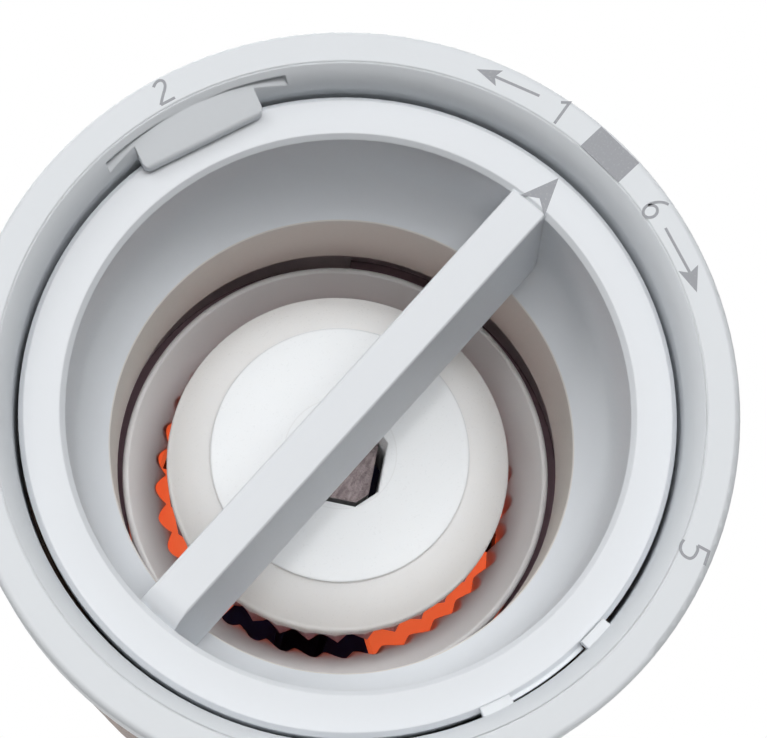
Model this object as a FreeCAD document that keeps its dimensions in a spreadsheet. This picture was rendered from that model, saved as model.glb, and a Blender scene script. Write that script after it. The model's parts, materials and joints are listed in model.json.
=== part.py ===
import FreeCAD, Part
import Sketcher
import math
import os

# Salt mill with a ceramic burr, an adjusting dial under the base and a head that is turned by hand.
# The mill stands upright on its base ring: Z is its axis, z = 0 is the table, lengths are millimetres.
# Every radius and height is built up from the sizes below, from the spindle outwards and from the
# table upwards, so that a changed size moves all that fits round it or stands on it.

SIZES = [
    # spindle, rotor hub and its bearing
    ("spindle_width", 6.0, "side of the square spindle"),
    ("spindle_chamfer", 0.9, "cut corners of the spindle"),
    ("socket_gap", 0.12, "play between the spindle and a square socket, each side"),
    ("journal_wall", 1.06, "hub wall over the corners of the spindle"),
    ("journal_gap", 0.08, "running gap of the hub in its bush"),
    ("bush_wall", 1.2, "wall of the bearing bush"),
    ("bridge_hub_wall", 0.8, "wall of the bridge's hub round the bush"),
    ("hub_collar_width", 1.2, "step of the rotor hub under the bridge"),
    ("hub_collar_rise", 0.2, "hub collar above the top of the rotor"),
    ("thrust_gap", 0.3, "end play of the rotor hub under the bridge"),
    ("washer_thickness", 0.8, "thrust washer"),
    ("washer_width", 2.6, "width of the thrust washer"),
    ("seat_gap", 0.1, "gap between the flat faces of the thrust stack"),
    ("clip_thickness", 0.8, "hub clip"),
    ("clip_groove_depth", 0.5, "groove of the hub clip"),
    ("clip_reach", 1.9, "reach of the hub clip outside the journal"),
    ("clip_opening", 70.0, "opening of the hub clip in degrees"),
    ("pin_radius", 0.8, "cross pin through hub and spindle"),
    ("pin_gap", 0.04, "play of the pin in its holes"),
    ("pin_rise", 1.9, "pin axis above the hub clip"),
    ("hub_end", 1.7, "hub above the pin axis"),
    # burr set
    ("rotor_radius", 14.2, "rim of the rotor"),
    ("rotor_face_radius", 10.6, "raised flat face of the rotor"),
    ("rotor_face_step", 0.3, "step round the flat face"),
    ("rotor_dome", 3.2, "flat face below the rim"),
    ("rotor_dome_curve", 12.0, "curve of the domed face"),
    ("rotor_rim", 1.1, "smooth rim of the rotor"),
    ("rotor_rim_drop", 0.2, "start of the rounded edge below the rim"),
    ("rotor_rim_rise", 0.4, "end of the rounded edge above the rim's foot"),
    ("rotor_rim_inset", 0.3, "start of the rounded edge inside the rim"),
    ("rotor_rim_curve", 0.6, "curve of the rim's edge"),
    ("rotor_knee", 0.6, "widest teeth of the rotor below the finest setting"),
    ("coarse_gap", 1.3, "gap between the burrs at the coarse setting"),
    ("rotor_top_radius", 9.6, "rotor at its top"),
    ("rotor_tooth_depth", 0.8, "depth of the rotor teeth"),
    ("rotor_tooth_start", 0.06, "depth of the teeth where they start"),
    ("rotor_tooth_twist", 8.0, "slant of the rotor teeth in degrees"),
    ("rotor_hole_gap", 0.66, "square hole of the rotor wider than the spindle, each side"),
    ("rotor_hole_chamfer", 1.6, "cut corners of the rotor's hole"),
    ("rotor_hole_offset", 0.45, "square hole beside the rotor's axis"),
    ("rotor_hole_depth", 10.7, "square hole in the ceramic below the hub"),
    ("spindle_recess", 3.7, "spindle end above the flat face of the rotor"),
    ("drive_turn", 60.2, "turn of the square parts in degrees"),
    ("rotor_above_stator", 2.5, "rotor top above the ring burr"),
    ("burr_gap", 0.3, "gap between the rotor rim and the ring burr's teeth"),
    ("tooth_depth", 0.9, "depth of the ring burr's teeth"),
    ("tooth_count", 36, "teeth of each burr"),
    ("tooth_lean", 0.6, "long flank of a tooth, as a share of its pitch"),
    ("tooth_turn", -4.0, "first tooth of the ring burr at its mouth in degrees"),
    ("tooth_twist", 6.4, "slant of the ring burr's teeth in degrees"),
    ("stator_wall", 2.6, "wall of the ring burr outside its teeth"),
    ("stator_height", 10.3, "height of the ring burr"),
    ("stator_flare", 2.4, "mouth of the ring burr wider than its narrowest part"),
    ("stator_narrow_rise", 6.6, "narrowest part above the lower face"),
    ("stator_edge_round", 0.35, "rounded lower edge of the ring burr"),
    ("stator_lip_width", 0.6, "wider lip of the ring burr's mouth"),
    ("stator_lip_rise", 2.2, "height of the wider lip"),
    ("rim_drop", 3.7, "rotor rim below the ring burr at the coarse setting"),
    ("stator_drop", 1.6, "ring burr below its carrier"),
    # adjusting dial
    ("throat_lead", 0.5, "dial throat wider than the ring burr"),
    ("throat_wall", 1.7, "wall of the threaded throat"),
    ("throat_narrowing", 0.2, "throat narrower at its upper end"),
    ("throat_length", 8.9, "straight throat"),
    ("cove_width", 2.45, "step from the throat to the dial's opening"),
    ("cove_rise", 5.2, "height of the hollow cove"),
    ("cup_depth", 7.0, "straight wall of the opening"),
    ("opening_draft", 0.3, "opening wider at the dial's face"),
    ("cup_wall", 1.95, "wall of the cup"),
    ("cup_shoulder", 1.5, "cup wall above the start of the cove"),
    ("cup_shoulder_rise", 1.9, "slope from the cup to the throat"),
    ("cup_gap", 0.4, "gap round the cup"),
    ("dial_recess", 2.8, "dial face above the table"),
    ("dial_flange", 3.0, "thickness of the dial's face ring"),
    ("dial_chamfer", 0.4, "edges of the dial's face ring"),
    ("dial_overlap", 0.23, "face ring wider than the housing"),
    ("dial_gap", 0.39, "gap between dial and base ring"),
    ("dial_sweep", 350.0, "turn of the dial in degrees"),
    ("rim_rib_height", 0.22, "rib on the rim of the dial"),
    ("rim_rib_drop", 0.3, "rib on the rim below the dial's face"),
    ("rim_rib_angle", 15.5, "run of the rim's rib in degrees"),
    ("rim_rib_turn", 103.2, "middle of the rim's rib in degrees"),
    ("bar_width", 3.2, "cross bar at its face"),
    ("bar_root_width", 5.5, "cross bar at its upper side"),
    ("bar_offset", 0.3, "middle of the cross bar beside the dial's axis"),
    ("bar_height", 9.4, "height of the cross bar"),
    ("bar_edge", 0.12, "broken edges of the cross bar"),
    ("bar_roll", 1.9, "rounded end of the cross bar"),
    ("bar_roll_drop", 1.3, "rounded end below the dial's face"),
    ("bar_end", 0.1, "cross bar let into the wall of the opening"),
    ("thread_pitch", 3.6, "lift of the burr in a full turn"),
    ("thread_height", 0.7, "height of the thread ridge"),
    ("thread_root_width", 1.6, "thread ridge at its foot"),
    ("thread_crest_width", 0.8, "thread ridge at its crest"),
    ("thread_start", 1.6, "thread start above the shoulder"),
    ("thread_length", 7.2, "height of the thread ridge's run"),
    ("ring_cord", 1.3, "section of the dial's O-ring"),
    ("ring_squeeze_gap", 0.15, "gap outside a rubber ring"),
    ("ring_groove_gap", 0.05, "gap of a rubber ring in its groove"),
    ("ring_place", 3.3, "O-ring above the face ring"),
    # carrier and housing
    ("slide_gap", 0.3, "gap of the sliding and turning fits"),
    ("carrier_wall", 1.0, "carrier wall outside the thread"),
    ("carrier_web", 5.2, "height of the carrier's web"),
    ("carrier_clearance", 0.4, "web above the throat at the finest setting"),
    ("carrier_hollow", 1.45, "width of the hollow round the ring burr"),
    ("carrier_hollow_roof", 1.2, "web over the hollow"),
    ("carrier_notch", 0.8, "depth of the notch in the wall of the hollow"),
    ("carrier_notch_angle", 25.0, "run of the notch in degrees"),
    ("carrier_notch_turn", -24.5, "middle of the notch in degrees"),
    ("rib_height", 0.9, "key ribs of the carrier"),
    ("rib_width", 4.0, "width of a key rib"),
    ("rib_count", 3, "key ribs"),
    ("rib_rise", 0.5, "ribs above the carrier's lower edge"),
    ("thread_lead_out", 0.6, "groove longer than the ridge's travel"),
    ("collar_wall", 0.6, "collar over the ring burr"),
    ("sleeve_gap", 0.4, "gap between the bridge's sleeve and the collar"),
    ("sleeve_wall", 1.4, "wall of the bridge's sleeve"),
    ("sleeve_rise", 0.7, "sleeve above the ring burr"),
    ("sleeve_overlap", 0.3, "collar round the sleeve at the finest setting"),
    ("bridge_headroom", 1.5, "bridge above the collar"),
    ("bridge_plate", 3.5, "thickness of the bridge plate"),
    ("window_count", 3, "windows of the bridge"),
    ("window_angle", 62.0, "opening of a window in degrees"),
    ("window_turn", 33.2, "middle of the first window in degrees"),
    ("window_margin", 0.4, "bridge plate left inside and outside a window"),
    ("housing_wall", 1.1, "housing wall behind a keyway"),
    ("housing_flange", 2.0, "upper flange of the housing"),
    ("cup_headroom", 0.8, "housing wide above the cup"),
    ("keyway_margin", 0.5, "keyway past the travel of the ribs"),
    ("plate_inset", 0.1, "bridge plate inside the housing's wall"),
    ("spring_wire", 0.9, "wire of the spring"),
    ("spring_gap", 0.25, "gap beside the spring"),
    ("spring_turns", 4, "turns of the spring"),
    ("spring_seat", 0.05, "gap at the ends of the spring"),
    ("screw_count", 3, "housing screws"),
    ("screw_turn", 93.2, "first housing screw in degrees"),
    ("screw_head_radius", 1.45, "countersunk head"),
    ("screw_radius", 0.9, "shank of the screws"),
    ("screw_gap", 0.05, "play of a head in its flange"),
    ("screw_bite", 5.0, "screw in the wood"),
    ("screw_slot", 0.4, "width of the screw's recess"),
    ("screw_slot_length", 1.8, "length of the screw's recess"),
    ("screw_slot_depth", 0.7, "depth of the screw's recess"),
    # base ring
    ("ring_wall", 1.5, "skirt of the base ring"),
    ("ring_brim", 2.38, "brim outside the skirt"),
    ("ring_thickness", 4.0, "brim of the base ring"),
    ("ring_edge_round", 0.5, "rounded outer edge"),
    ("skirt_length", 7.0, "skirt above the brim"),
    ("lip_width", 1.23, "rounded lip inside the scale"),
    ("lip_height", 2.3, "height of the rounded lip"),
    ("lip_radius", 3.2, "curve of the rounded lip"),
    ("line_width", 0.16, "fine moulded line inside the scale"),
    ("line_depth", 0.12, "depth of the fine line"),
    ("lug_reach", 1.53, "lug over the edge of the dial"),
    ("lug_half_length", 5.1, "half the length of the lug"),
    ("lug_thickness", 2.0, "thickness of the lug where it leaves the lip"),
    ("lug_nose", 0.7, "thickness of the lug at its nose"),
    ("lug_blend", 0.35, "rounded edge of the lug's nose"),
    ("lug_gap", 0.3, "lug below the dial's face"),
    ("lug_corner", 0.6, "rounded corners of the lug"),
    ("lug_foot", 0.7, "foot of the lug's slope outside the well"),
    ("lug_turn", -69.7, "lug in degrees"),
    ("lug_root", 1.0, "lug inside the lip"),
    ("snap_reach", 0.3, "snap nubs over the edge of the dial"),
    ("snap_thickness", 0.7, "thickness of a snap nub"),
    ("snap_gap", 0.2, "snap nubs below the dial's face"),
    ("snap_angle", 5.6, "run of a snap nub in degrees"),
    # wooden body
    ("press_gap", 0.08, "glue gap of what is set in the wood"),
    ("body_inset", 0.1, "foot of the body inside the base ring"),
    ("body_height", 118.0, "wooden body"),
    ("drum_height", 43.0, "lower drum of the body"),
    ("drum_narrowing", 1.7, "drum narrower at its top"),
    ("shoulder_drop", 1.1, "shoulder inside the drum's top"),
    ("shoulder_rise", 2.4, "height of the shoulder"),
    ("shoulder_curve", 2.6, "curve of the shoulder"),
    ("waist_wall", 3.4, "wood round the hopper at the waist"),
    ("waist_rise", 42.0, "waist above the shoulder"),
    ("waist_curve", 125.0, "hollow side above the shoulder"),
    ("neck_wall", 5.6, "wood round the hopper below the bead"),
    ("neck_curve", 95.0, "hollow side below the bead"),
    ("bead_groove", 0.9, "groove under the bead"),
    ("bead_height", 5.4, "height of the bead with its groove"),
    ("bead_fillet", 0.8, "groove below the bead"),
    ("bead_curve", 3.0, "curve of the bead"),
    ("hopper_radius", 15.5, "hopper bore"),
    # neck bearing and head
    ("bearing_relief", 0.2, "neck bearing wider than the hopper"),
    ("bearing_wall", 1.7, "wall of the neck bearing"),
    ("bearing_depth", 8.0, "neck bearing in the wood"),
    ("bearing_flange", 1.2, "flange of the neck bearing"),
    ("bearing_brim", 2.1, "flange outside the neck bearing's wall"),
    ("spigot_gap", 0.4, "gap round the head's spigot"),
    ("spigot_wall", 2.1, "wall of the spigot"),
    ("spigot_length", 8.0, "spigot below the head"),
    ("liner_flange", 2.0, "flange of the spigot in the head"),
    ("head_gap", 0.3, "head above the neck bearing"),
    ("seal_cord", 1.4, "section of the seal ring"),
    ("seal_place", 4.6, "seal ring below the head"),
    ("head_margin", 4.4, "wood round the liner's flange"),
    ("head_bead", 3.4, "bead at the foot of the head"),
    ("head_bead_curve", 2.3, "curve of the foot bead"),
    ("head_step", 1.0, "step above the foot bead"),
    ("head_neck_rise", 3.6, "neck above the foot bead"),
    ("head_neck_curve", 4.8, "hollow of the neck"),
    ("head_ball_radius", 22.0, "ball of the head"),
    ("head_ball_rise", 14.6, "middle of the ball above the neck"),
    ("head_cavity_height", 16.5, "hollow of the head above the liner"),
    ("head_top_radius", 8.0, "flat top of the head"),
    ("plate_thickness", 4.0, "drive plate"),
    ("plate_web", 1.0, "web over the square socket"),
    ("plate_margin", 1.5, "cavity wider than the drive plate"),
    ("plate_screw_circle", 8.0, "screws of the drive plate"),
    ("plate_screw_bite", 9.0, "plate screw in the wood"),
    ("stud_radius", 2.5, "threaded end of the spindle"),
    ("stud_gap", 0.3, "gap round the stud"),
    ("stud_length", 31.0, "stud above the square"),
    # knob
    ("knob_washer_radius", 6.2, "washer under the knob"),
    ("knob_washer_thickness", 0.8, "washer under the knob"),
    ("knob_foot_radius", 5.4, "foot of the knob"),
    ("knob_foot_height", 1.4, "foot of the knob"),
    ("knob_neck_radius", 3.9, "neck of the knob"),
    ("knob_neck_rise", 1.8, "neck above the foot"),
    ("knob_ball_radius", 6.6, "ball of the knob"),
    ("knob_bore_gap", 0.06, "knob bore round the stud"),
    ("knob_bore_end", 0.8, "bore above the stud"),
]

HALF_DIAGONAL = math.sqrt(0.5)
FULL_TURN = 360.0


class Dim:
    """A size that keeps its number together with its spreadsheet expression."""

    def __init__(self, value, text):
        self.value = float(value)
        self.text = text

    def joined(self, other, sign, value):
        return Dim(value, "(%s %s %s)" % (self.text, sign, text_of(other)))

    def __add__(self, other):
        return self.joined(other, "+", self.value + number(other))

    def __sub__(self, other):
        return self.joined(other, "-", self.value - number(other))

    def __mul__(self, other):
        return self.joined(other, "*", self.value * number(other))

    def __truediv__(self, other):
        return self.joined(other, "/", self.value / number(other))

    def __neg__(self):
        return Dim(-self.value, "(0 - %s)" % self.text)

    def root(self):
        return Dim(math.sqrt(self.value), "sqrt(%s)" % self.text)

    def sin(self):
        return Dim(math.sin(math.radians(self.value)), "sin(%s)" % self.text)

    def cos(self):
        return Dim(math.cos(math.radians(self.value)), "cos(%s)" % self.text)


def number(thing):
    return thing.value if isinstance(thing, Dim) else float(thing)


def text_of(thing):
    return thing.text if isinstance(thing, Dim) else repr(float(thing))


def leg(longest, other):
    """Third side of a right triangle, from its longest side and another."""
    return (longest * longest - other * other).root()


ZERO = Dim(0.0, "0")
PAIR = Dim(2.0, "2")

doc = FreeCAD.newDocument("SaltMill")
sheet = doc.addObject("Spreadsheet::Sheet", "Sizes")
for row, (alias, value, note) in enumerate(SIZES, start=1):
    sheet.set("A%d" % row, note)
    sheet.set("B%d" % row, str(value))
    sheet.setAlias("B%d" % row, alias)
doc.recompute()


class Sheet:
    """Gives each spreadsheet size by its alias, as a Dim."""

    def __getattr__(self, alias):
        return Dim(sheet.get(alias), "Sizes." + alias)


s = Sheet()


class Places:
    """Radii and heights where the pieces meet, each worked out once."""


def radii():
    """Radii from the spindle outwards."""
    r = Places()
    r.socket_half = s.spindle_width / 2 + s.socket_gap
    r.journal = s.spindle_width * HALF_DIAGONAL + s.journal_wall
    r.bush_bore = r.journal + s.journal_gap
    r.bush = r.bush_bore + s.bush_wall
    r.bridge_hub = r.bush + s.bridge_hub_wall
    r.hub_collar = r.journal + s.hub_collar_width
    r.stator_tip = s.rotor_radius + s.burr_gap
    r.stator_root = r.stator_tip + s.tooth_depth
    r.stator = r.stator_root + s.stator_wall
    r.throat = r.stator + s.throat_lead
    r.thread_foot = r.throat + s.throat_wall
    r.thread_crest = r.thread_foot + s.thread_height
    r.carrier_bore = r.thread_foot + s.slide_gap
    r.thread_groove = r.thread_crest + s.slide_gap
    r.carrier = r.thread_groove + s.carrier_wall
    r.housing_bore = r.carrier + s.slide_gap
    r.rib = r.carrier + s.rib_height
    r.keyway = r.rib + s.slide_gap
    r.housing = r.keyway + s.housing_wall
    r.opening = r.throat + s.cove_width
    r.face_opening = r.opening + s.opening_draft
    r.cup = r.opening + s.cup_wall
    r.housing_foot_bore = r.cup + s.cup_gap
    r.dial = r.housing + s.dial_overlap
    r.well = r.dial + s.dial_gap
    r.skirt = r.well + s.ring_wall
    r.base = r.skirt + s.ring_brim
    r.collar = r.stator + s.collar_wall
    r.spring = r.collar + s.spring_gap + s.spring_wire / 2
    r.flange_bore = r.spring + s.spring_wire / 2 + s.spring_gap
    r.screw_circle = r.flange_bore + s.screw_gap + s.screw_head_radius
    r.upper_bore = r.screw_circle + s.screw_head_radius + s.screw_gap
    r.sleeve = r.stator - s.sleeve_gap
    r.sleeve_bore = r.sleeve - s.sleeve_wall
    r.window_inner = r.bridge_hub + s.window_margin
    r.window_outer = r.sleeve_bore - s.window_margin
    r.neck_bore = s.hopper_radius + s.bearing_relief
    r.bearing = r.neck_bore + s.bearing_wall
    r.spigot = r.neck_bore - s.spigot_gap
    r.spigot_bore = r.spigot - s.spigot_wall
    r.liner_flange = r.spigot + s.spigot_wall
    r.plate = r.spigot_bore - s.plate_margin
    r.lip = r.well + s.lip_width
    r.bridge_plate = r.housing - s.plate_inset
    r.neck_wood = s.hopper_radius + s.neck_wall
    r.bead_foot = r.neck_wood - s.bead_groove
    r.head_foot = r.liner_flange + s.head_margin
    r.clip_groove = r.journal - s.clip_groove_depth
    r.stud_bore = s.stud_radius + s.stud_gap
    return r


def heights():
    """Heights from the table upwards, with the dial at its coarse end as in the photograph."""
    z = Places()
    z.travel = s.thread_pitch * s.dial_sweep / FULL_TURN
    z.dial_back = s.dial_recess + s.dial_flange
    z.lug_high = s.dial_recess - s.lug_gap
    z.lug_low = z.lug_high - s.lug_thickness
    z.housing_low = z.dial_back + s.slide_gap
    z.skirt_top = s.ring_thickness + s.skirt_length
    z.cove = s.dial_recess + s.cup_depth
    z.throat = z.cove + s.cove_rise
    z.throat_top = z.throat + s.throat_length
    z.shoulder = z.cove + s.cup_shoulder
    z.thread_foot = z.shoulder + s.cup_shoulder_rise
    z.carrier_low = z.thread_foot + z.travel + s.slide_gap
    z.web_low = z.throat_top + z.travel + s.carrier_clearance
    z.web_top = z.web_low + s.carrier_web
    z.stator_low = z.web_low - s.stator_drop
    z.stator_top = z.stator_low + s.stator_height
    z.sleeve_low = z.stator_top + s.sleeve_rise
    z.collar_top = z.sleeve_low + z.travel + s.sleeve_overlap
    z.bridge_low = z.collar_top + s.bridge_headroom
    z.bridge_top = z.bridge_low + s.bridge_plate
    z.flange_low = z.bridge_low - s.housing_flange
    z.rim_low = z.stator_low - s.rim_drop
    z.rotor_low = z.rim_low - s.rotor_dome
    z.rotor_top = z.stator_top + s.rotor_above_stator
    z.hub_collar = z.rotor_top + s.hub_collar_rise
    z.bridge_hub_low = z.hub_collar + s.thrust_gap
    z.hole_top = z.rotor_low + s.rotor_hole_depth
    z.spindle_low = z.rotor_low + s.spindle_recess
    z.rim_top = z.rim_low + s.rotor_rim_rise + s.rotor_rim
    z.narrow = z.stator_low + s.stator_narrow_rise
    z.knee = z.narrow - z.travel - s.rotor_knee
    z.washer_low = z.bridge_top + s.seat_gap
    z.washer_top = z.washer_low + s.washer_thickness
    z.clip_low = z.washer_top + s.seat_gap
    z.clip_top = z.clip_low + s.clip_thickness
    z.pin = z.clip_top + s.pin_rise
    z.hub_top = z.pin + s.hub_end
    z.body_top = s.ring_thickness + s.body_height
    z.bearing_low = z.body_top - s.bearing_depth
    z.bearing_top = z.body_top + s.bearing_flange
    z.head_low = z.bearing_top + s.head_gap
    z.spigot_low = z.head_low - s.spigot_length
    z.liner_top = z.head_low + s.liner_flange
    z.cavity_top = z.liner_top + s.head_cavity_height
    z.plate_low = z.cavity_top - s.plate_thickness
    z.square_top = z.cavity_top - s.plate_web
    z.head_bead_top = z.head_low + s.head_bead
    z.head_neck = z.head_bead_top + s.head_neck_rise
    z.ball = z.head_neck + s.head_ball_rise
    z.head_top = z.ball + leg(s.head_ball_radius, s.head_top_radius)
    z.stud_top = z.square_top + s.stud_length
    z.knob_washer = z.head_top + s.knob_washer_thickness
    z.knob_foot = z.knob_washer + s.knob_foot_height
    z.knob_neck = z.knob_foot + s.knob_neck_rise
    return z


r = radii()
z = heights()


def bind(thing, prop, size):
    """Tie a property to the spreadsheet."""
    if isinstance(size, Dim):
        thing.setExpression(prop, size.text)


def plane(body, role):
    for feature in body.Origin.OriginFeatures:
        if feature.Role == role:
            return feature
    raise ValueError(role)


def new_body(label):
    body = doc.addObject("PartDesign::Body", label.title().replace("_", ""))
    body.Label = label
    return body


def arc_between(start, end, radius):
    """Arc of under half a turn; a positive radius has its centre left of the way from start to end."""
    chord = end.sub(start)
    height = math.sqrt(max(radius * radius - chord.Length ** 2 / 4.0, 0.0))
    side = 1.0 if radius > 0 else -1.0
    left = FreeCAD.Vector(-chord.y, chord.x, 0).normalize()
    centre = start.add(chord.multiply(0.5)).add(left.multiply(height * side))
    first, last = (start, end) if radius > 0 else (end, start)
    angle_first = math.atan2(first.y - centre.y, first.x - centre.x)
    angle_last = math.atan2(last.y - centre.y, last.x - centre.x)
    circle = Part.Circle(centre, FreeCAD.Vector(0, 0, 1), abs(radius))
    return Part.ArcOfCircle(circle, angle_first, angle_last)


def hold(sketch, kind, geometry, point, size):
    """Fix one coordinate of a point to a size, or put the point on the axis where the size is zero."""
    axis = -2 if kind == "DistanceX" else -1
    if abs(size.value) < 1e-9:
        sketch.addConstraint(Sketcher.Constraint("PointOnObject", geometry, point, axis))
        return
    if size.value > 0:
        constraint = Sketcher.Constraint(kind, -1, 1, geometry, point, size.value)
    else:
        constraint = Sketcher.Constraint(kind, geometry, point, -1, 1, -size.value)
        size = -size
    index = sketch.addConstraint(constraint)
    name = "size%d" % index
    sketch.renameConstraint(index, name)
    sketch.setExpression("Constraints." + name, size.text)


def outline(body, name, role, points, offset=None, turn=None, upright=False):
    """Closed sketch on an origin plane; a third value makes the edge that ends there an arc."""
    sketch = body.newObject("Sketcher::SketchObject", name)
    sketch.AttachmentSupport = [(plane(body, role), "")]
    sketch.MapMode = "FlatFace"
    if offset is not None:
        bind(sketch, ".AttachmentOffset.Base.z", offset)
    if turn is not None:
        axis = FreeCAD.Vector(0, 1, 0) if upright else FreeCAD.Vector(0, 0, 1)
        rotation = FreeCAD.Rotation(axis, turn.value)
        sketch.AttachmentOffset = FreeCAD.Placement(sketch.AttachmentOffset.Base, rotation)
        bind(sketch, ".AttachmentOffset.Rotation.Angle", turn)
    corners = [FreeCAD.Vector(point[0].value, point[1].value, 0) for point in points]
    count = len(points)
    starts = []
    for index in range(count):
        start, end = corners[index - 1], corners[index]
        radius = points[index][2] if len(points[index]) > 2 else None
        if radius is None:
            sketch.addGeometry(Part.LineSegment(start, end), False)
            starts.append((1, 2))
        else:
            sketch.addGeometry(arc_between(start, end, radius.value), False)
            starts.append((1, 2) if radius.value > 0 else (2, 1))
    for index in range(count):
        following = (index + 1) % count
        sketch.addConstraint(
            Sketcher.Constraint("Coincident", index, starts[index][1], following, starts[following][0])
        )
    for index, point in enumerate(points):
        hold(sketch, "DistanceX", index, starts[index][1], point[0])
        hold(sketch, "DistanceY", index, starts[index][1], point[1])
        if len(point) > 2:
            size = point[2] if point[2].value > 0 else -point[2]
            place = sketch.addConstraint(Sketcher.Constraint("Radius", index, size.value))
            sketch.renameConstraint(place, "curve%d" % place)
            sketch.setExpression("Constraints.curve%d" % place, size.text)
    return sketch


def turned(label, points):
    """Body turned about Z from a half section of (radius, height) corners."""
    body = new_body(label)
    sketch = outline(body, label + "_section", "XZ_Plane", points)
    revolution = body.newObject("PartDesign::Revolution", label + "_turning")
    revolution.Profile = sketch
    revolution.ReferenceAxis = (sketch, ["V_Axis"])
    revolution.Angle = FULL_TURN
    body.Tip = revolution
    return body


def extruded(body, kind, sketch, name, length, reverse=False, middle=False):
    """Pad or Pocket of a sketch."""
    feature = body.newObject("PartDesign::" + kind, name)
    feature.Profile = sketch
    feature.Length = length.value
    bind(feature, "Length", length)
    feature.Reversed = reverse
    if middle:
        feature.SideType = "Symmetric"
    body.Tip = feature
    return feature


def patterned(body, feature, name, count):
    """Repeat a feature round the axis."""
    pattern = body.newObject("PartDesign::PolarPattern", name)
    pattern.Originals = [feature]
    pattern.Axis = (plane(body, "Z_Axis"), [""])
    pattern.Angle = FULL_TURN
    bind(pattern, "Occurrences", count)
    body.Tip = pattern
    return pattern


def box_points(x_low, x_high, y_low, y_high):
    return [(x_low, y_low), (x_high, y_low), (x_high, y_high), (x_low, y_high)]


def circle_sketch(body, name, role, x, y, radius, offset=None, turn=None):
    """Sketch of one circle at (x, y)."""
    sketch = body.newObject("Sketcher::SketchObject", name)
    sketch.AttachmentSupport = [(plane(body, role), "")]
    sketch.MapMode = "FlatFace"
    if offset is not None:
        bind(sketch, ".AttachmentOffset.Base.z", offset)
    if turn is not None:
        bind(sketch, ".AttachmentOffset.Rotation.Angle", turn)
    centre = FreeCAD.Vector(x.value, y.value, 0)
    sketch.addGeometry(Part.Circle(centre, FreeCAD.Vector(0, 0, 1), radius.value), False)
    hold(sketch, "DistanceX", 0, 3, x)
    hold(sketch, "DistanceY", 0, 3, y)
    place = sketch.addConstraint(Sketcher.Constraint("Radius", 0, radius.value))
    sketch.renameConstraint(place, "radius")
    sketch.setExpression("Constraints.radius", radius.text)
    return sketch


def sector_points(inner, outer, angle):
    """Part of a ring between two radii over an angle, with its middle on the X axis."""
    across = (angle / 2).sin()
    along = (angle / 2).cos()
    return [
        (inner * along, -(inner * across), -inner),
        (outer * along, -(outer * across)),
        (outer * along, outer * across, outer),
        (inner * along, inner * across),
    ]


def square_points(half, chamfer):
    """Square with cut corners round the axis."""
    inner = half - chamfer
    return [
        (-inner, -half),
        (inner, -half),
        (half, -inner),
        (half, inner),
        (inner, half),
        (-inner, half),
        (-half, inner),
        (-half, -inner),
    ]


def tangent_radius(step, run):
    """Radius of an arc that leaves a straight side without a corner and steps off it over a run."""
    return (step * step + run * run) / (step * 2)


def placed(thing, turn=None, shift=None, lift=None):
    """Placement of a finished sub-part or primitive, tied to the sheet."""
    thing.Placement = FreeCAD.Placement(
        FreeCAD.Vector(number(shift or ZERO), 0, number(lift or ZERO)),
        FreeCAD.Rotation(FreeCAD.Vector(0, 0, 1), number(turn or ZERO)),
    )
    if turn is not None:
        bind(thing, ".Placement.Rotation.Angle", turn)
    if shift is not None:
        bind(thing, ".Placement.Base.x", shift)
    if lift is not None:
        bind(thing, ".Placement.Base.z", lift)
    return thing


def cylinder(name, radius, low, high, shift=None):
    """Upright cylinder between two heights."""
    part = doc.addObject("Part::Cylinder", name)
    bind(part, "Radius", radius)
    bind(part, "Height", high - low)
    return placed(part, shift=shift, lift=low)


def cone(name, low_radius, high_radius, low, high, shift=None):
    """Upright cone between two heights."""
    part = doc.addObject("Part::Cone", name)
    bind(part, "Radius1", low_radius)
    bind(part, "Radius2", high_radius)
    bind(part, "Height", high - low)
    return placed(part, shift=shift, lift=low)


def centred_box(name, x_size, y_size, low, high, shift=None):
    """Upright box round a vertical line."""
    part = doc.addObject("Part::Box", name)
    bind(part, "Length", x_size)
    bind(part, "Width", y_size)
    bind(part, "Height", high - low)
    part.Placement.Base = FreeCAD.Vector(0, 0, low.value)
    bind(part, ".Placement.Base.x", (shift or ZERO) - x_size / 2)
    bind(part, ".Placement.Base.y", -(y_size / 2))
    bind(part, ".Placement.Base.z", low)
    return part


def fused(name, parts):
    """Union of simple solids."""
    union = doc.addObject("Part::MultiFuse", name)
    union.Shapes = parts
    return union


def cut_from(name, base, tool):
    """Base without the tool."""
    cut = doc.addObject("Part::Cut", name)
    cut.Base = base
    cut.Tool = tool
    return cut


def from_code(name, shape):
    """Solid of a form that no feature makes."""
    feature = doc.addObject("Part::Feature", name)
    feature.Shape = shape
    return feature


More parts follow.
